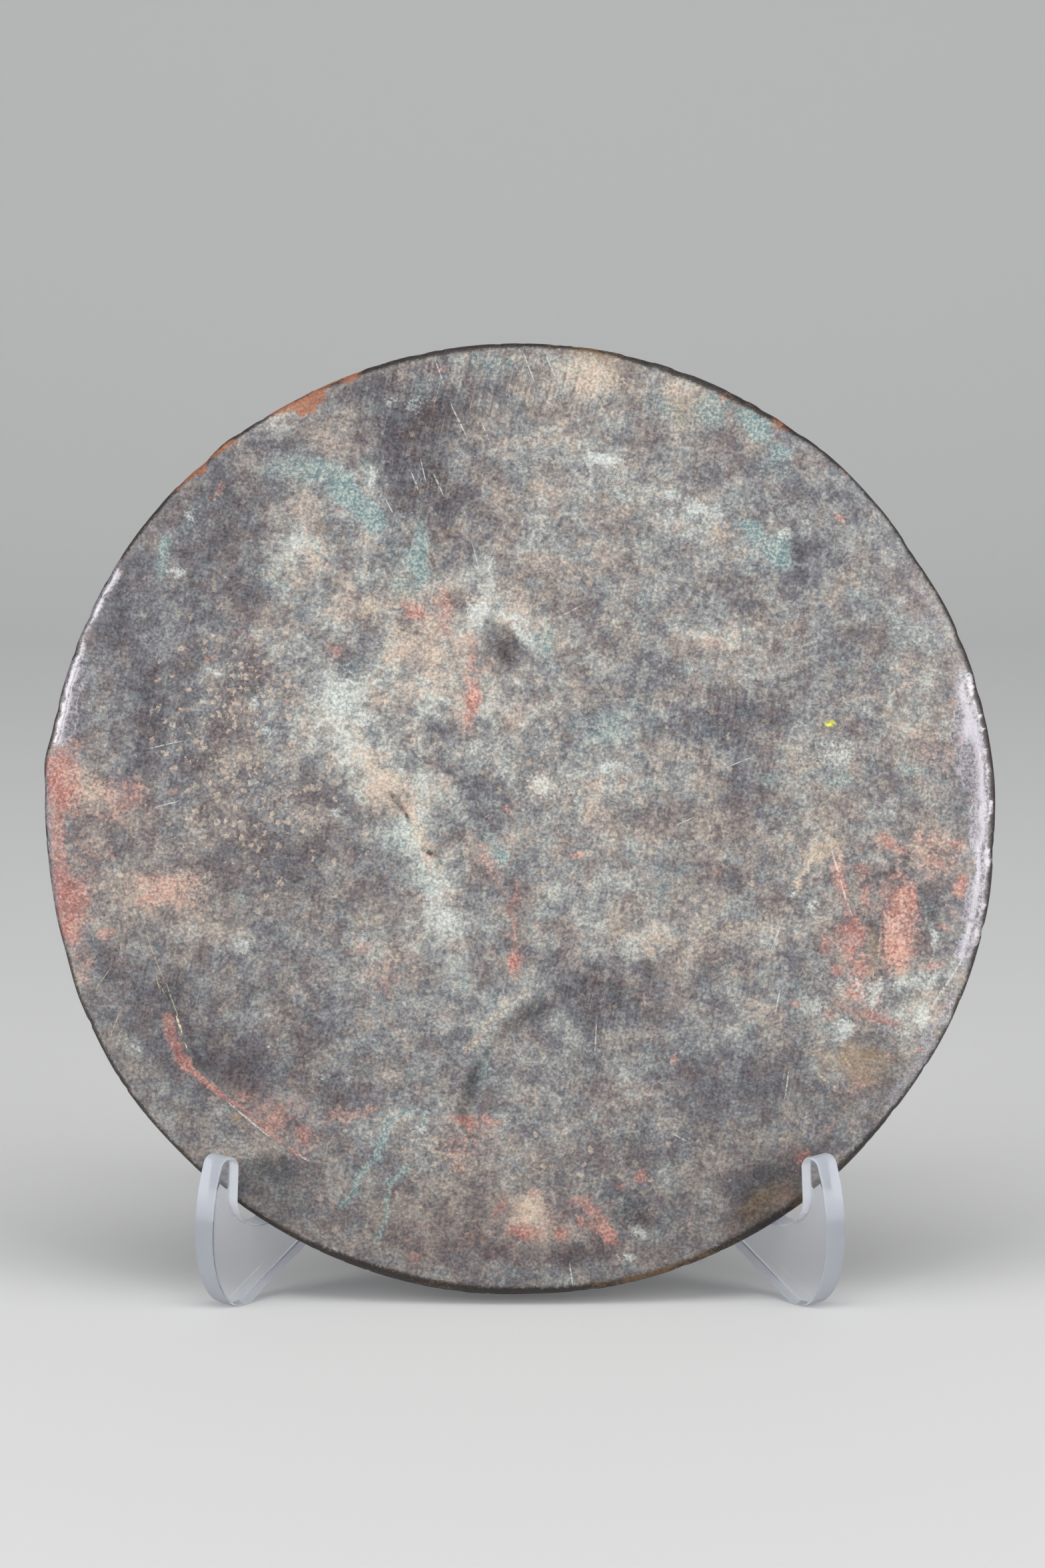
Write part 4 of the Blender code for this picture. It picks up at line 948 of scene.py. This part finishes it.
def makeMirror():
    radius, angle, height, quadBlocks, stitches = mirrorPoints()
    turn = np.radians(angle)
    x, y = radius * np.cos(turn) / millimetre, radius * np.sin(turn) / millimetre
    front = height > equator - 1e-9
    front &= ~((radius < faceRadius) & (height < faceHeight(radius) - mirror["plateThickness"] / 2))
    onFace, onBack = faceFinish(x, y), backFinish(x, y)
    finish = {name: np.where(front, onFace[name], onBack[name]) for name in onFace}
    outer = radius > mirror["radius"] - mirror["rimWall"] - 0.0002
    fromEdge = (mirror["radius"] - radius) / millimetre
    wider = sum(wide * hump(angle, centre, half) for centre, half, wide in mirror["brownRim"])
    brown = mirror["leastBrown"] + wider
    # the outer band, where the edge turns away, takes the rim's colour, which is partly painted shade
    finish["rim"] = np.where(front, ease(-fromEdge, -brown - 1.0, -brown + 0.8), outer.astype(float))
    finish["gilt"] = sum(share * hump(angle, centre, half) for centre, half, share in mirror["giltRim"])
    corroded = 0.5 * finish["crust"] + 0.8 * finish["red"] + 0.5 * finish["teal"]
    finish["rough"] = np.clip(0.25 + corroded, 0, 1)
    scores = {"gold": mirror["goldScores"], "pale": mirror["paleScores"]}
    for name, listed in scores.items():
        away, width = scoreLines(x, y, listed)
        finish[name + "Away"] = away
        finish[name + "Width"] = np.where(front, width, 0.0)

    relief = faceRelief(x, y, finish) * millimetre
    depths = mirror["relief"]
    backRelief = depths["back"] * (clouds(x + 200, y, 16, 4, 141) - 0.5) - depths["backSunk"]
    backRelief = backRelief * millimetre
    steep = ease(height, 0.0, equator * 0.7)
    raised = height + np.where(front, relief * (1 - steep), np.where(outer, 0, backRelief))
    grown = radius * (1 + outlineGrowth(angle) / mirror["radius"])
    grown = grown + np.where(front | outer, np.minimum(relief, 0) * steep * 0.5, 0)

    mesh = bpy.data.meshes.new("mirrorDisc")
    place = np.stack([grown * np.cos(turn), grown * np.sin(turn), raised], -1)
    points = standing(place)
    quads = [tuple(face) for block in quadBlocks for face in block.tolist()]
    mesh.from_pydata(points.tolist(), [], quads + [tuple(int(i) for i in face) for face in stitches])
    mesh.validate()
    for name, values in finish.items():
        stored = mesh.attributes.new(name, "FLOAT", "POINT")
        stored.data.foreach_set("value", values.astype(np.float32))
    stored = mesh.attributes.new("place", "FLOAT_VECTOR", "POINT")
    stored.data.foreach_set("vector", (place / millimetre).astype(np.float32).ravel())
    bm = bmesh.new()
    bm.from_mesh(mesh)
    bmesh.ops.remove_doubles(bm, verts=bm.verts, dist=1e-7)
    bmesh.ops.recalc_face_normals(bm, faces=bm.faces)
    bm.to_mesh(mesh)
    bm.free()
    mesh.shade_smooth()
    disc = bpy.data.objects.new("mirrorDisc", mesh)
    bpy.context.scene.collection.objects.link(disc)
    return disc


def makePatinaMaterial():
    colours, patina = mirror["colours"], mirror["patina"]
    covers = patina["covers"]
    made = bpy.data.materials.new("patinatedBronze")
    made.use_nodes = True
    tree = made.node_tree
    shader = tree.nodes["Principled BSDF"]
    place = addNode(tree, "Attribute", attribute_name="place").outputs["Vector"]
    place = vectorOf(tree, "ADD", place, patina["corner"])

    def painted(name):
        return addNode(tree, "Attribute", attribute_name=name).outputs["Fac"]

    def plus(first, second, clamp=False):
        return mathOf(tree, "ADD", first, second, clamp)

    def times(first, second):
        return mathOf(tree, "MULTIPLY", first, second)

    def eased(value, low, high, toLow=0.0, toHigh=1.0):
        return spread(tree, value, low, high, toLow, toHigh)

    def swinging(noise, reach):
        # noise from 0 to 1 as a swing to both sides of 0
        inputs = {0: noise, 1: reach, 2: -reach / 2}
        return addNode(tree, "Math", inputs, operation="MULTIPLY_ADD").outputs[0]

    def noiseAt(where, name):
        scale, detail, rough = patina["noises"][name]
        inputs = {"Vector": where, "Scale": scale, "Detail": detail, "Roughness": rough}
        return addNode(tree, "TexNoise", inputs)

    def pushed(where, colour, reach):
        return vectorOf(tree, "ADD", where, vectorOf(tree, "MULTIPLY", colour, (reach, reach, reach)))

    def ragged(name, noise):
        reach, softness = patina["edges"][name]
        inputs = {"Mask": painted(name), "Noise": noise, "Ragged": reach, "Softness": softness}
        return useGroup(tree, raggedGroup, inputs)

    def over(under, upper, share, cover):
        return blendColours(tree, times(share, cover), under, upper)

    # weather holds every size of cloud from 6 mm down, grain the finest specks,
    # brushed the faint streaks that run down the face, and tooth the knobbly crust
    swirl = noiseAt(place, "swirl").outputs["Color"]
    weather, hue, breakUp = addNode(tree, "SeparateColor", {0: swirl}).outputs
    fine = noiseAt(place, "fine").outputs["Color"]
    grain, crumb, pit = addNode(tree, "SeparateColor", {0: fine}).outputs
    inputs = {"Vector": place, "Angle": patina["brushTurn"]}
    turned = addNode(tree, "VectorRotate", inputs, rotation_type="Z_AXIS").outputs[0]
    drawn = vectorOf(tree, "MULTIPLY", turned, patina["brushStretch"])
    brushed = noiseAt(drawn, "brushed").outputs["Fac"]
    tooth = noiseAt(place, "tooth").outputs["Fac"]
    mixed = blendValues(tree, 0.46, breakUp, crumb)
    crumbly = blendValues(tree, 0.5, mixed, tooth)

    # the patina's thickness, from bare at 0 to thickly crusted at 1, and its tone
    swings = patina["swings"]
    cover = times(swinging(weather, 1.0), eased(painted("lively"), 0.0, 1.0, *patina["weatherSwing"]))
    cover = plus(painted("crust"), cover)
    flaking = swinging(eased(weather, 0.465, 0.535), swings["flaking"])
    chipping = swinging(eased(tooth, 0.45, 0.55), swings["chipping"])
    cover = plus(cover, plus(flaking, chipping))
    cover = plus(cover, swinging(tooth, swings["tooth"]))
    cover = plus(cover, swinging(grain, swings["grain"]))
    streaks = times(swinging(brushed, 1.0), eased(painted("rubbed"), 0.1, 0.9, *patina["streakSwing"]))
    crust = plus(cover, streaks, clamp=True)
    warmth = eased(plus(hue, painted("warm")), 0.40, 0.60)
    coolTone = rampOf(tree, crust, mirror["coolTones"])
    warmTone = rampOf(tree, crust, mirror["warmTones"])
    colour = blendColours(tree, warmth, coolTone, warmTone)
    colour = over(colour, colours["turquoise"], eased(breakUp, 0.54, 0.64), covers["turquoise"])

    # crumbs, each cell's own chance deciding whether it shows
    away = pushed(place, swirl, patina["crumbPush"])
    shaken = pushed(away, fine, patina["crumbShake"])
    crumbCells = addNode(tree, "TexVoronoi", {"Vector": shaken, "Scale": patina["crumbScale"]})
    chance = addNode(tree, "SeparateColor", {0: crumbCells.outputs["Color"]}).outputs[0]
    chance = plus(chance, times(painted("crumbs"), 1.5))
    fromMiddle = plus(crumbCells.outputs["Distance"], swinging(crumbly, patina["crumbBreak"]))
    crumbs = times(eased(fromMiddle, 0.16, 0.44, 1.0, 0.0), eased(chance, 0.80, 1.20))
    colour = over(colour, colours["cream"], crumbs, covers["crumbs"])

    # cream, ochre, teal, red and white over it
    colour = over(colour, colours["cream"], ragged("cream", mixed), covers["cream"])
    colour = over(colour, colours["ochre"], ragged("ochre", mixed), covers["ochre"])
    teal = ragged("teal", mixed)
    tealTone = blendColours(tree, eased(grain, 0.36, 0.64), colours["teal"], colours["green"])
    colour = over(colour, tealTone, teal, covers["teal"])
    red = ragged("red", crumbly)
    paler = plus(mixed, times(painted("cream"), 0.07))  # reds are paler where cream lies
    redTone = blendColours(tree, eased(paler, 0.43, 0.57), colours["brick"], colours["salmon"])
    colour = over(colour, redTone, red, eased(hue, 0.40, 0.60, *patina["redCover"]))
    white = ragged("white", mixed)
    colour = over(colour, colours["white"], white, covers["white"])
    colour = over(colour, colours["yellow"], painted("yellow"), covers["yellow"])

    # the rim is a smooth dark brown, darker still as painted shade where the edge turns away, golden where
    # it is rubbed, and worn bare at the sides, lightened there as a painted highlight
    rim = ragged("rim", mixed)
    gilt = eased(plus(mixed, times(painted("gilt"), 0.16)), 0.58, 0.68)
    rimTone = blendColours(tree, gilt, colours["rimBrown"], colours["rimGold"])
    colour = over(colour, rimTone, rim, covers["rim"])
    colour = over(colour, colours["copper"], ragged("copper", mixed), covers["copper"])
    wornAndHighlight = ragged("wornAndHighlight", mixed)
    colour = over(colour, colours["worn"], wornAndHighlight, covers["wornAndHighlight"])

    # darkening, strongest towards the bottom, fine light and dark specks everywhere, pits and fine cracks
    tone = eased(grain, 0.30, 0.70, *patina["grainTones"])
    darkened = times(painted("grime"), eased(crumbly, 0.42, 0.58, 0.5, 1.5))
    tone = times(tone, mathOf(tree, "SUBTRACT", 1.0, darkened))
    colour = addNode(tree, "VectorMath", {0: colour, "Scale": tone}, operation="SCALE").outputs[0]
    pits = useGroup(tree, speckleGroup, {"Noise": pit, "Amount": 0.07, "Softness": 0.025})
    colour = over(colour, colours["pinhole"], pits, covers["pits"])
    inputs = {"Vector": away, "Scale": patina["crazingScale"]}
    cells = addNode(tree, "TexVoronoi", inputs, feature="DISTANCE_TO_EDGE").outputs["Distance"]
    crazing = times(eased(cells, 0.0, 0.07, 1.0, 0.0), eased(breakUp, 0.48, 0.60))
    colour = over(colour, colours["pinhole"], crazing, covers["crazing"])

    # scratches: many faint ones by noise, and the scored lines in their places
    rubbed = 0.0
    for turn, length, width, amount in patina["rubbing"]:
        inputs = {"Position": place, "Turn": turn, "Length": length, "Width": width, "Amount": amount}
        rubbed = mathOf(tree, "MAXIMUM", useGroup(tree, scratchGroup, inputs), rubbed)
    rubbed = times(rubbed, painted("rubbed"))

    def scored(name, low, high):
        # the line wanders a little, and shows only where crumb is high enough
        wander = times(mathOf(tree, "SUBTRACT", grain, 0.5), 0.12)
        away = plus(mathOf(tree, "ABSOLUTE", painted(name + "Away")), wander)
        width = painted(name + "Width")
        near = eased(away, times(width, 0.3), width, 1.0, 0.0)
        near = times(near, mathOf(tree, "GREATER_THAN", width, 0.02))
        return times(near, eased(crumb, low, high))

    gold = scored("gold", 0.38, 0.50)
    pale = scored("pale", 0.36, 0.56)
    colour = over(colour, colours["white"], rubbed, covers["rubbed"])
    colour = over(colour, colours["white"], pale, covers["pale"])
    colour = over(colour, colours["gold"], gold, covers["gold"])
    tree.links.new(colour, shader.inputs["Base Color"])

    shown = {"red": red, "teal": teal, "white": white, "rim": rim, "gold": gold, "wornAndHighlight": wornAndHighlight}

    def layered(values):
        result = blendValues(tree, crust, values["bare"], values["crusted"])
        for name in values:
            if name in shown:
                result = blendValues(tree, shown[name], result, values[name])
        return result

    rough = plus(layered(patina["roughness"]), eased(grain, 0.3, 0.7, -0.10, 0.10), clamp=True)
    tree.links.new(rough, shader.inputs["Roughness"])
    tree.links.new(layered(patina["metallic"]), shader.inputs["Metallic"])

    # fine relief, deeper where the surface is corroded
    low, high = patina["bumpHeights"]
    inputs = {"Value": painted("rough"), "To Min": low, "To Max": high}
    coarse = addNode(tree, "MapRange", inputs).outputs[0]
    rise = times(tooth, times(coarse, eased(wornAndHighlight, 0.0, 1.0, 1.0, 0.15)))
    inputs = {"Strength": patina["bumpStrength"], "Distance": millimetre, "Height": rise}
    bump = addNode(tree, "Bump", inputs)
    tree.links.new(bump.outputs[0], shader.inputs["Normal"])
    return made


mirrorDisc = makeMirror()
mirrorDisc.data.materials.append(makePatinaMaterial())
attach(mirrorDisc, "root")
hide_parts("mirror_disc")
print("mirror made:", len(mirrorDisc.data.polygons), "faces")


# the stand's two clear sheets

# Along the sheet from where the two cross, and up from the floor, in metres
stand = {
    "crossing": (0, 0.014603, 0),
    "turn": 45.0,
    "thickness": 0.006,
    "fingerBack": -0.08640,
    "seatHeight": 0.01646,
    "wallFoot": -0.07777,
    "slope": 0.27490,
    "toeReach": 0.0068,
    "toeBellyHeight": 0.0150,
    "toeHeight": 0.0324,
    "footStart": 0.0008,
    "footEnd": 0.0034,
    "tipWidth": 0.0046,
    "tipShare": 0.53,
    "tipLean": 0.0009,
    "seatRound": 0.0065,
    "armHeight": 0.106,
    "armTopWidth": 0.0095,
    "armTopRound": 0.0040,
    "armBaseWidth": 0.0250,
    "armFillet": 0.016,
    "tailHeight": 0.0380,
    "tailRound": 0.014,
    "archHeight": 0.0165,
    "archRise": 30.5,
    "archRound": 0.020,
    "rearRiseShare": 0.6,
    "rearArchRound": 0.010,
    "rearReach": 0.0519,
    "rearFootLength": 0.0085,
    "rearFootRound": 0.0025,
    "rearEndHeight": 0.0230,
    "rearEndRound": 0.010,
    "slotPlay": 0.0003,
    "edgeEase": 0.0005,
    "arcStep": 3.0,
    # tint, clearness and roughness of the polished faces and of the cut edges
    "face": (paint(244, 247, 252), 0.97, 0.05),
    "cutEdge": (paint(236, 241, 250), 0.72, 0.30),
    "bending": 1.49,  # how strongly it bends light
    "smearScale": 0.12,
    "smearRoughness": 0.05,
    "scratchRoughness": 0.45,
}


def roundedOutline(corners):
    # each corner (x, y, radius) rounded off by an arc
    outline = []
    for i, (x, y, radius) in enumerate(corners):
        corner = Vector((x, y))
        before = (Vector(corners[i - 1][:2]) - corner).normalized()
        after = (Vector(corners[(i + 1) % len(corners)][:2]) - corner).normalized()
        opening = before.angle(after)
        if radius <= 0 or math.pi - opening < 1e-3:
            outline.append(corner)
            continue
        start = corner + before * (radius / math.tan(opening / 2))
        middle = corner + (before + after).normalized() * (radius / math.sin(opening / 2))
        sweep = math.pi - opening
        if before.x * after.y - before.y * after.x > 0:
            sweep = -sweep
        steps = max(2, math.ceil(abs(math.degrees(sweep)) / stand["arcStep"]))
        for step in range(steps + 1):
            arm = (start - middle).to_3d()
            arm.rotate(Matrix.Rotation(sweep * step / steps, 3, "Z"))
            outline.append(middle + arm.to_2d())
    return outline


def toeCurve():
    # the toe's front: a quarter of one ellipse below its belly and part of another above
    middle = stand["fingerBack"] + stand["footStart"]
    halfLength = stand["footStart"] + stand["toeReach"]
    belly = stand["toeBellyHeight"]
    fingerFront = stand["footStart"] - stand["tipLean"] + stand["tipWidth"]
    curveEnd = stand["toeHeight"] - 2 * stand["tipWidth"] * stand["tipShare"]
    share = (fingerFront + halfLength) / 2 / halfLength
    upper = (curveEnd - belly) / math.sqrt(1 - share ** 2)
    points = []
    steps = round(90 / stand["arcStep"])
    for step in range(steps + 1):
        turn = math.pi / 2 * step / steps
        points.append((middle - halfLength * math.sin(turn), belly * (1 - math.cos(turn)), 0))
    last = math.asin((curveEnd - belly) / upper)
    steps = round(math.degrees(last) / stand["arcStep"])
    for step in range(1, steps + 1):
        turn = last * step / steps
        points.append((middle - halfLength * math.cos(turn), belly + upper * math.sin(turn), 0))
    return points


def sheetCorners(slotFromTop):
    # (along, up, rounding) around the sheet, with its half-lap slot
    seatCorner = stand["wallFoot"] + stand["slope"] * stand["seatHeight"]
    armTop = stand["wallFoot"] + stand["slope"] * stand["armHeight"]
    tipBack = stand["fingerBack"] + stand["tipLean"]
    tipRound = stand["tipWidth"] * stand["tipShare"]
    archRise = stand["archHeight"] / math.tan(math.radians(stand["archRise"]))
    footFront = stand["rearReach"] - stand["rearFootLength"]
    archBack = footFront - archRise * stand["rearRiseShare"]
    archFront = stand["fingerBack"] + stand["footEnd"]
    halfSlot = stand["thickness"] / 2 + stand["slotPlay"]
    slotEnd = (stand["archHeight"] + stand["tailHeight"]) / 2
    slotEnd += stand["slotPlay"] / 2 * (-1 if slotFromTop else 1)
    rim = stand["tailHeight"] if slotFromTop else stand["archHeight"]
    side = -1 if slotFromTop else 1
    slot = [
        (side * halfSlot, rim, 0), (side * halfSlot, slotEnd, 0),
        (-side * halfSlot, slotEnd, 0), (-side * halfSlot, rim, 0),
    ]
    return [
        *toeCurve(),
        (tipBack - stand["tipWidth"], stand["toeHeight"], tipRound),
        (tipBack, stand["toeHeight"], tipRound),
        (stand["fingerBack"], stand["seatHeight"], stand["seatRound"]),
        (seatCorner, stand["seatHeight"], stand["seatRound"]),
        (armTop, stand["armHeight"], stand["armTopRound"]),
        (armTop + stand["armTopWidth"], stand["armHeight"], stand["armTopRound"]),
        (seatCorner + stand["armBaseWidth"], stand["tailHeight"], stand["armFillet"]),
        *(slot if slotFromTop else []),
        (footFront, stand["tailHeight"], stand["tailRound"]),
        (stand["rearReach"], stand["rearEndHeight"], stand["rearEndRound"]),
        (stand["rearReach"], 0, stand["rearFootRound"]),
        (footFront, 0, stand["rearFootRound"]),
        (archBack, stand["archHeight"], stand["rearArchRound"]),
        *([] if slotFromTop else slot),
        (archFront + archRise, stand["archHeight"], stand["archRound"]),
        (archFront, 0, stand["rearFootRound"]),
    ]


def makeSheet(name, slotFromTop, turn, materials):
    # a flat outline given its thickness, with the cut edges eased
    outline = roundedOutline(sheetCorners(slotFromTop))
    bm = bmesh.new()
    lower = [bm.verts.new((p.x, p.y, -stand["thickness"] / 2)) for p in outline]
    upper = [bm.verts.new((p.x, p.y, stand["thickness"] / 2)) for p in outline]
    bm.faces.new(lower)
    bm.faces.new(upper)
    for i in range(len(outline)):
        j = (i + 1) % len(outline)
        side = bm.faces.new((lower[i], lower[j], upper[j], upper[i]))
        side.material_index = 1
    bmesh.ops.recalc_face_normals(bm, faces=bm.faces)
    mesh = bpy.data.meshes.new(name)
    bm.to_mesh(mesh)
    bm.free()
    mesh.shade_smooth()
    for material in materials:
        mesh.materials.append(material)
    mesh.transform(
        Matrix.Translation(stand["crossing"])
        @ Matrix.Rotation(math.radians(turn), 4, "Z")
        @ Matrix.Rotation(math.radians(90), 4, "X")
    )
    sheet = bpy.data.objects.new(name, mesh)
    bpy.context.scene.collection.objects.link(sheet)
    bevel = sheet.modifiers.new("Eased edges", "BEVEL")
    bevel.width = stand["edgeEase"]
    bevel.segments = 3
    bevel.limit_method = "ANGLE"
    bevel.angle_limit = math.radians(50)
    bevel.harden_normals = True
    return sheet


def makeAcrylicMaterial(name, tint, clearness, roughness):
    made = bpy.data.materials.new(name)
    made.use_nodes = True
    tree = made.node_tree
    shader = tree.nodes["Principled BSDF"]
    shader.inputs["Base Color"].default_value = tint
    shader.inputs["Transmission Weight"].default_value = clearness
    shader.inputs["IOR"].default_value = stand["bending"]
    shader.inputs["Metallic"].default_value = 0.0
    objectPlace = addNode(tree, "TexCoord").outputs["Object"]
    inputs = {0: objectPlace, "Scale": 1 / millimetre}
    place = addNode(tree, "VectorMath", inputs, operation="SCALE").outputs[0]
    inputs = {"Vector": place, "Scale": stand["smearScale"], "Detail": 3.0}
    smear = addNode(tree, "TexNoise", inputs).outputs["Fac"]
    handled = useGroup(tree, speckleGroup, {"Noise": smear, "Amount": 0.5, "Softness": 0.15})
    inputs = {"Position": place, "Turn": 0.35, "Length": 14.0, "Width": 0.18, "Amount": 0.22}
    rubbed = useGroup(tree, scratchGroup, inputs)
    rough = blendValues(tree, handled, roughness, roughness + stand["smearRoughness"])
    rough = blendValues(tree, rubbed, rough, stand["scratchRoughness"])
    tree.links.new(rough, shader.inputs["Roughness"])
    return made


polishedFace = makeAcrylicMaterial("acrylicFace", *stand["face"])
cutEdge = makeAcrylicMaterial("acrylicCutEdge", *stand["cutEdge"])
leftTurn, rightTurn = 90 - stand["turn"], 90 + stand["turn"]
for side, slotFromTop, turn in (("Left", True, leftTurn), ("Right", False, rightTurn)):
    sheet = makeSheet("standSheet" + side, slotFromTop, turn, [polishedFace, cutEdge])
    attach(sheet, "root")
    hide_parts("stand_sheet_" + side.lower())
print("stand made")


# floor, light and camera

studio = {
    "floorColour": paint(214, 214, 212),
    "floorHalf": 3.0,
    "sweepStart": 0.9,  # how far behind the mirror the floor begins to rise
    "sweepRound": 0.8,
    "sweepSteps": 24,
    "skyColour": (0.93, 0.95, 1.0, 1.0),
    "skyStrength": 0.38,
    "lights": [
        # name, place, width, height, watts, colour
        ("softLeft", (-1.05, -0.52, 0.42), 0.7, 1.1, 8.6, (1.0, 0.99, 1.0)),
        ("softRight", (1.05, -0.52, 0.42), 0.7, 1.1, 8.6, (1.0, 0.99, 1.0)),
        ("stripLeft", (-0.60, -0.94, 0.32), 0.16, 0.60, 1.5, (0.97, 0.97, 1.0)),
        ("stripRight", (0.60, -0.94, 0.32), 0.16, 0.60, 1.5, (0.97, 0.97, 1.0)),
        ("softTop", (0, -0.5, 1.5), 1.1, 0.8, 8.0, (1.0, 1.0, 1.0)),
    ],
    "aim": (0, -0.025, 0.10),
    "cameraElevation": 10.0,
    "cameraDistance": 1.05,
    "cameraTarget": (0.0005, -0.025, 0.1049),
    "targetLift": 0.0020,  # moves the target up across the view
    "frameHeight": 0.3297,  # what the frame takes in at the target
    "sensor": 36.0,
}


def makeFloor():
    # a floor that sweeps up into a backdrop
    half, start, bend = studio["floorHalf"], studio["sweepStart"], studio["sweepRound"]
    section = [(-half, 0), (start, 0)]
    for step in range(1, studio["sweepSteps"] + 1):
        turn = math.pi / 2 * step / studio["sweepSteps"]
        section.append((start + bend * math.sin(turn), bend * (1 - math.cos(turn))))
    section.append((start + bend, half))
    points, faces = [], []
    for y, z in section:
        points += [(-half, y, z), (half, y, z)]
    for i in range(len(section) - 1):
        faces.append((2 * i, 2 * i + 1, 2 * i + 3, 2 * i + 2))
    mesh = bpy.data.meshes.new("studioFloor")
    mesh.from_pydata(points, [], faces)
    mesh.shade_smooth()
    floor = bpy.data.objects.new("studioFloor", mesh)
    bpy.context.scene.collection.objects.link(floor)
    matt = bpy.data.materials.new("floorPaint")
    matt.use_nodes = True
    shader = matt.node_tree.nodes["Principled BSDF"]
    shader.inputs["Base Color"].default_value = studio["floorColour"]
    shader.inputs["Roughness"].default_value = 0.75
    mesh.materials.append(matt)


def makeLights():
    aim = Vector(studio["aim"])
    for name, place, width, height, watts, colour in studio["lights"]:
        data = bpy.data.lights.new(name, "AREA")
        data.shape = "RECTANGLE"
        data.size, data.size_y = width, height
        data.energy, data.color = watts, colour
        light = bpy.data.objects.new(name, data)
        bpy.context.scene.collection.objects.link(light)
        light.location = place
        light.rotation_euler = (aim - Vector(place)).to_track_quat("-Z", "Y").to_euler()
    world = bpy.data.worlds.new("studioAir")
    world.use_nodes = True
    sky = world.node_tree.nodes["Background"]
    sky.inputs["Color"].default_value = studio["skyColour"]
    sky.inputs["Strength"].default_value = studio["skyStrength"]
    bpy.context.scene.world = world


def makeCamera():
    rise = math.radians(studio["cameraElevation"])
    up = Vector((0, math.sin(rise), math.cos(rise)))
    back = Vector((0, -math.cos(rise), math.sin(rise)))
    data = bpy.data.cameras.new("photographView")
    data.sensor_fit = "AUTO"
    data.sensor_width = studio["sensor"]
    data.lens = studio["sensor"] * studio["cameraDistance"] / studio["frameHeight"]
    camera = bpy.data.objects.new("photographView", data)
    bpy.context.scene.collection.objects.link(camera)
    target = Vector(studio["cameraTarget"]) + up * studio["targetLift"]
    camera.location = target + back * studio["cameraDistance"]
    camera.rotation_euler = (math.pi / 2 - rise, 0, 0)
    bpy.context.scene.camera = camera


makeFloor()
makeLights()
makeCamera()
bpy.context.scene.view_settings.view_transform = "Standard"
print("studio made")
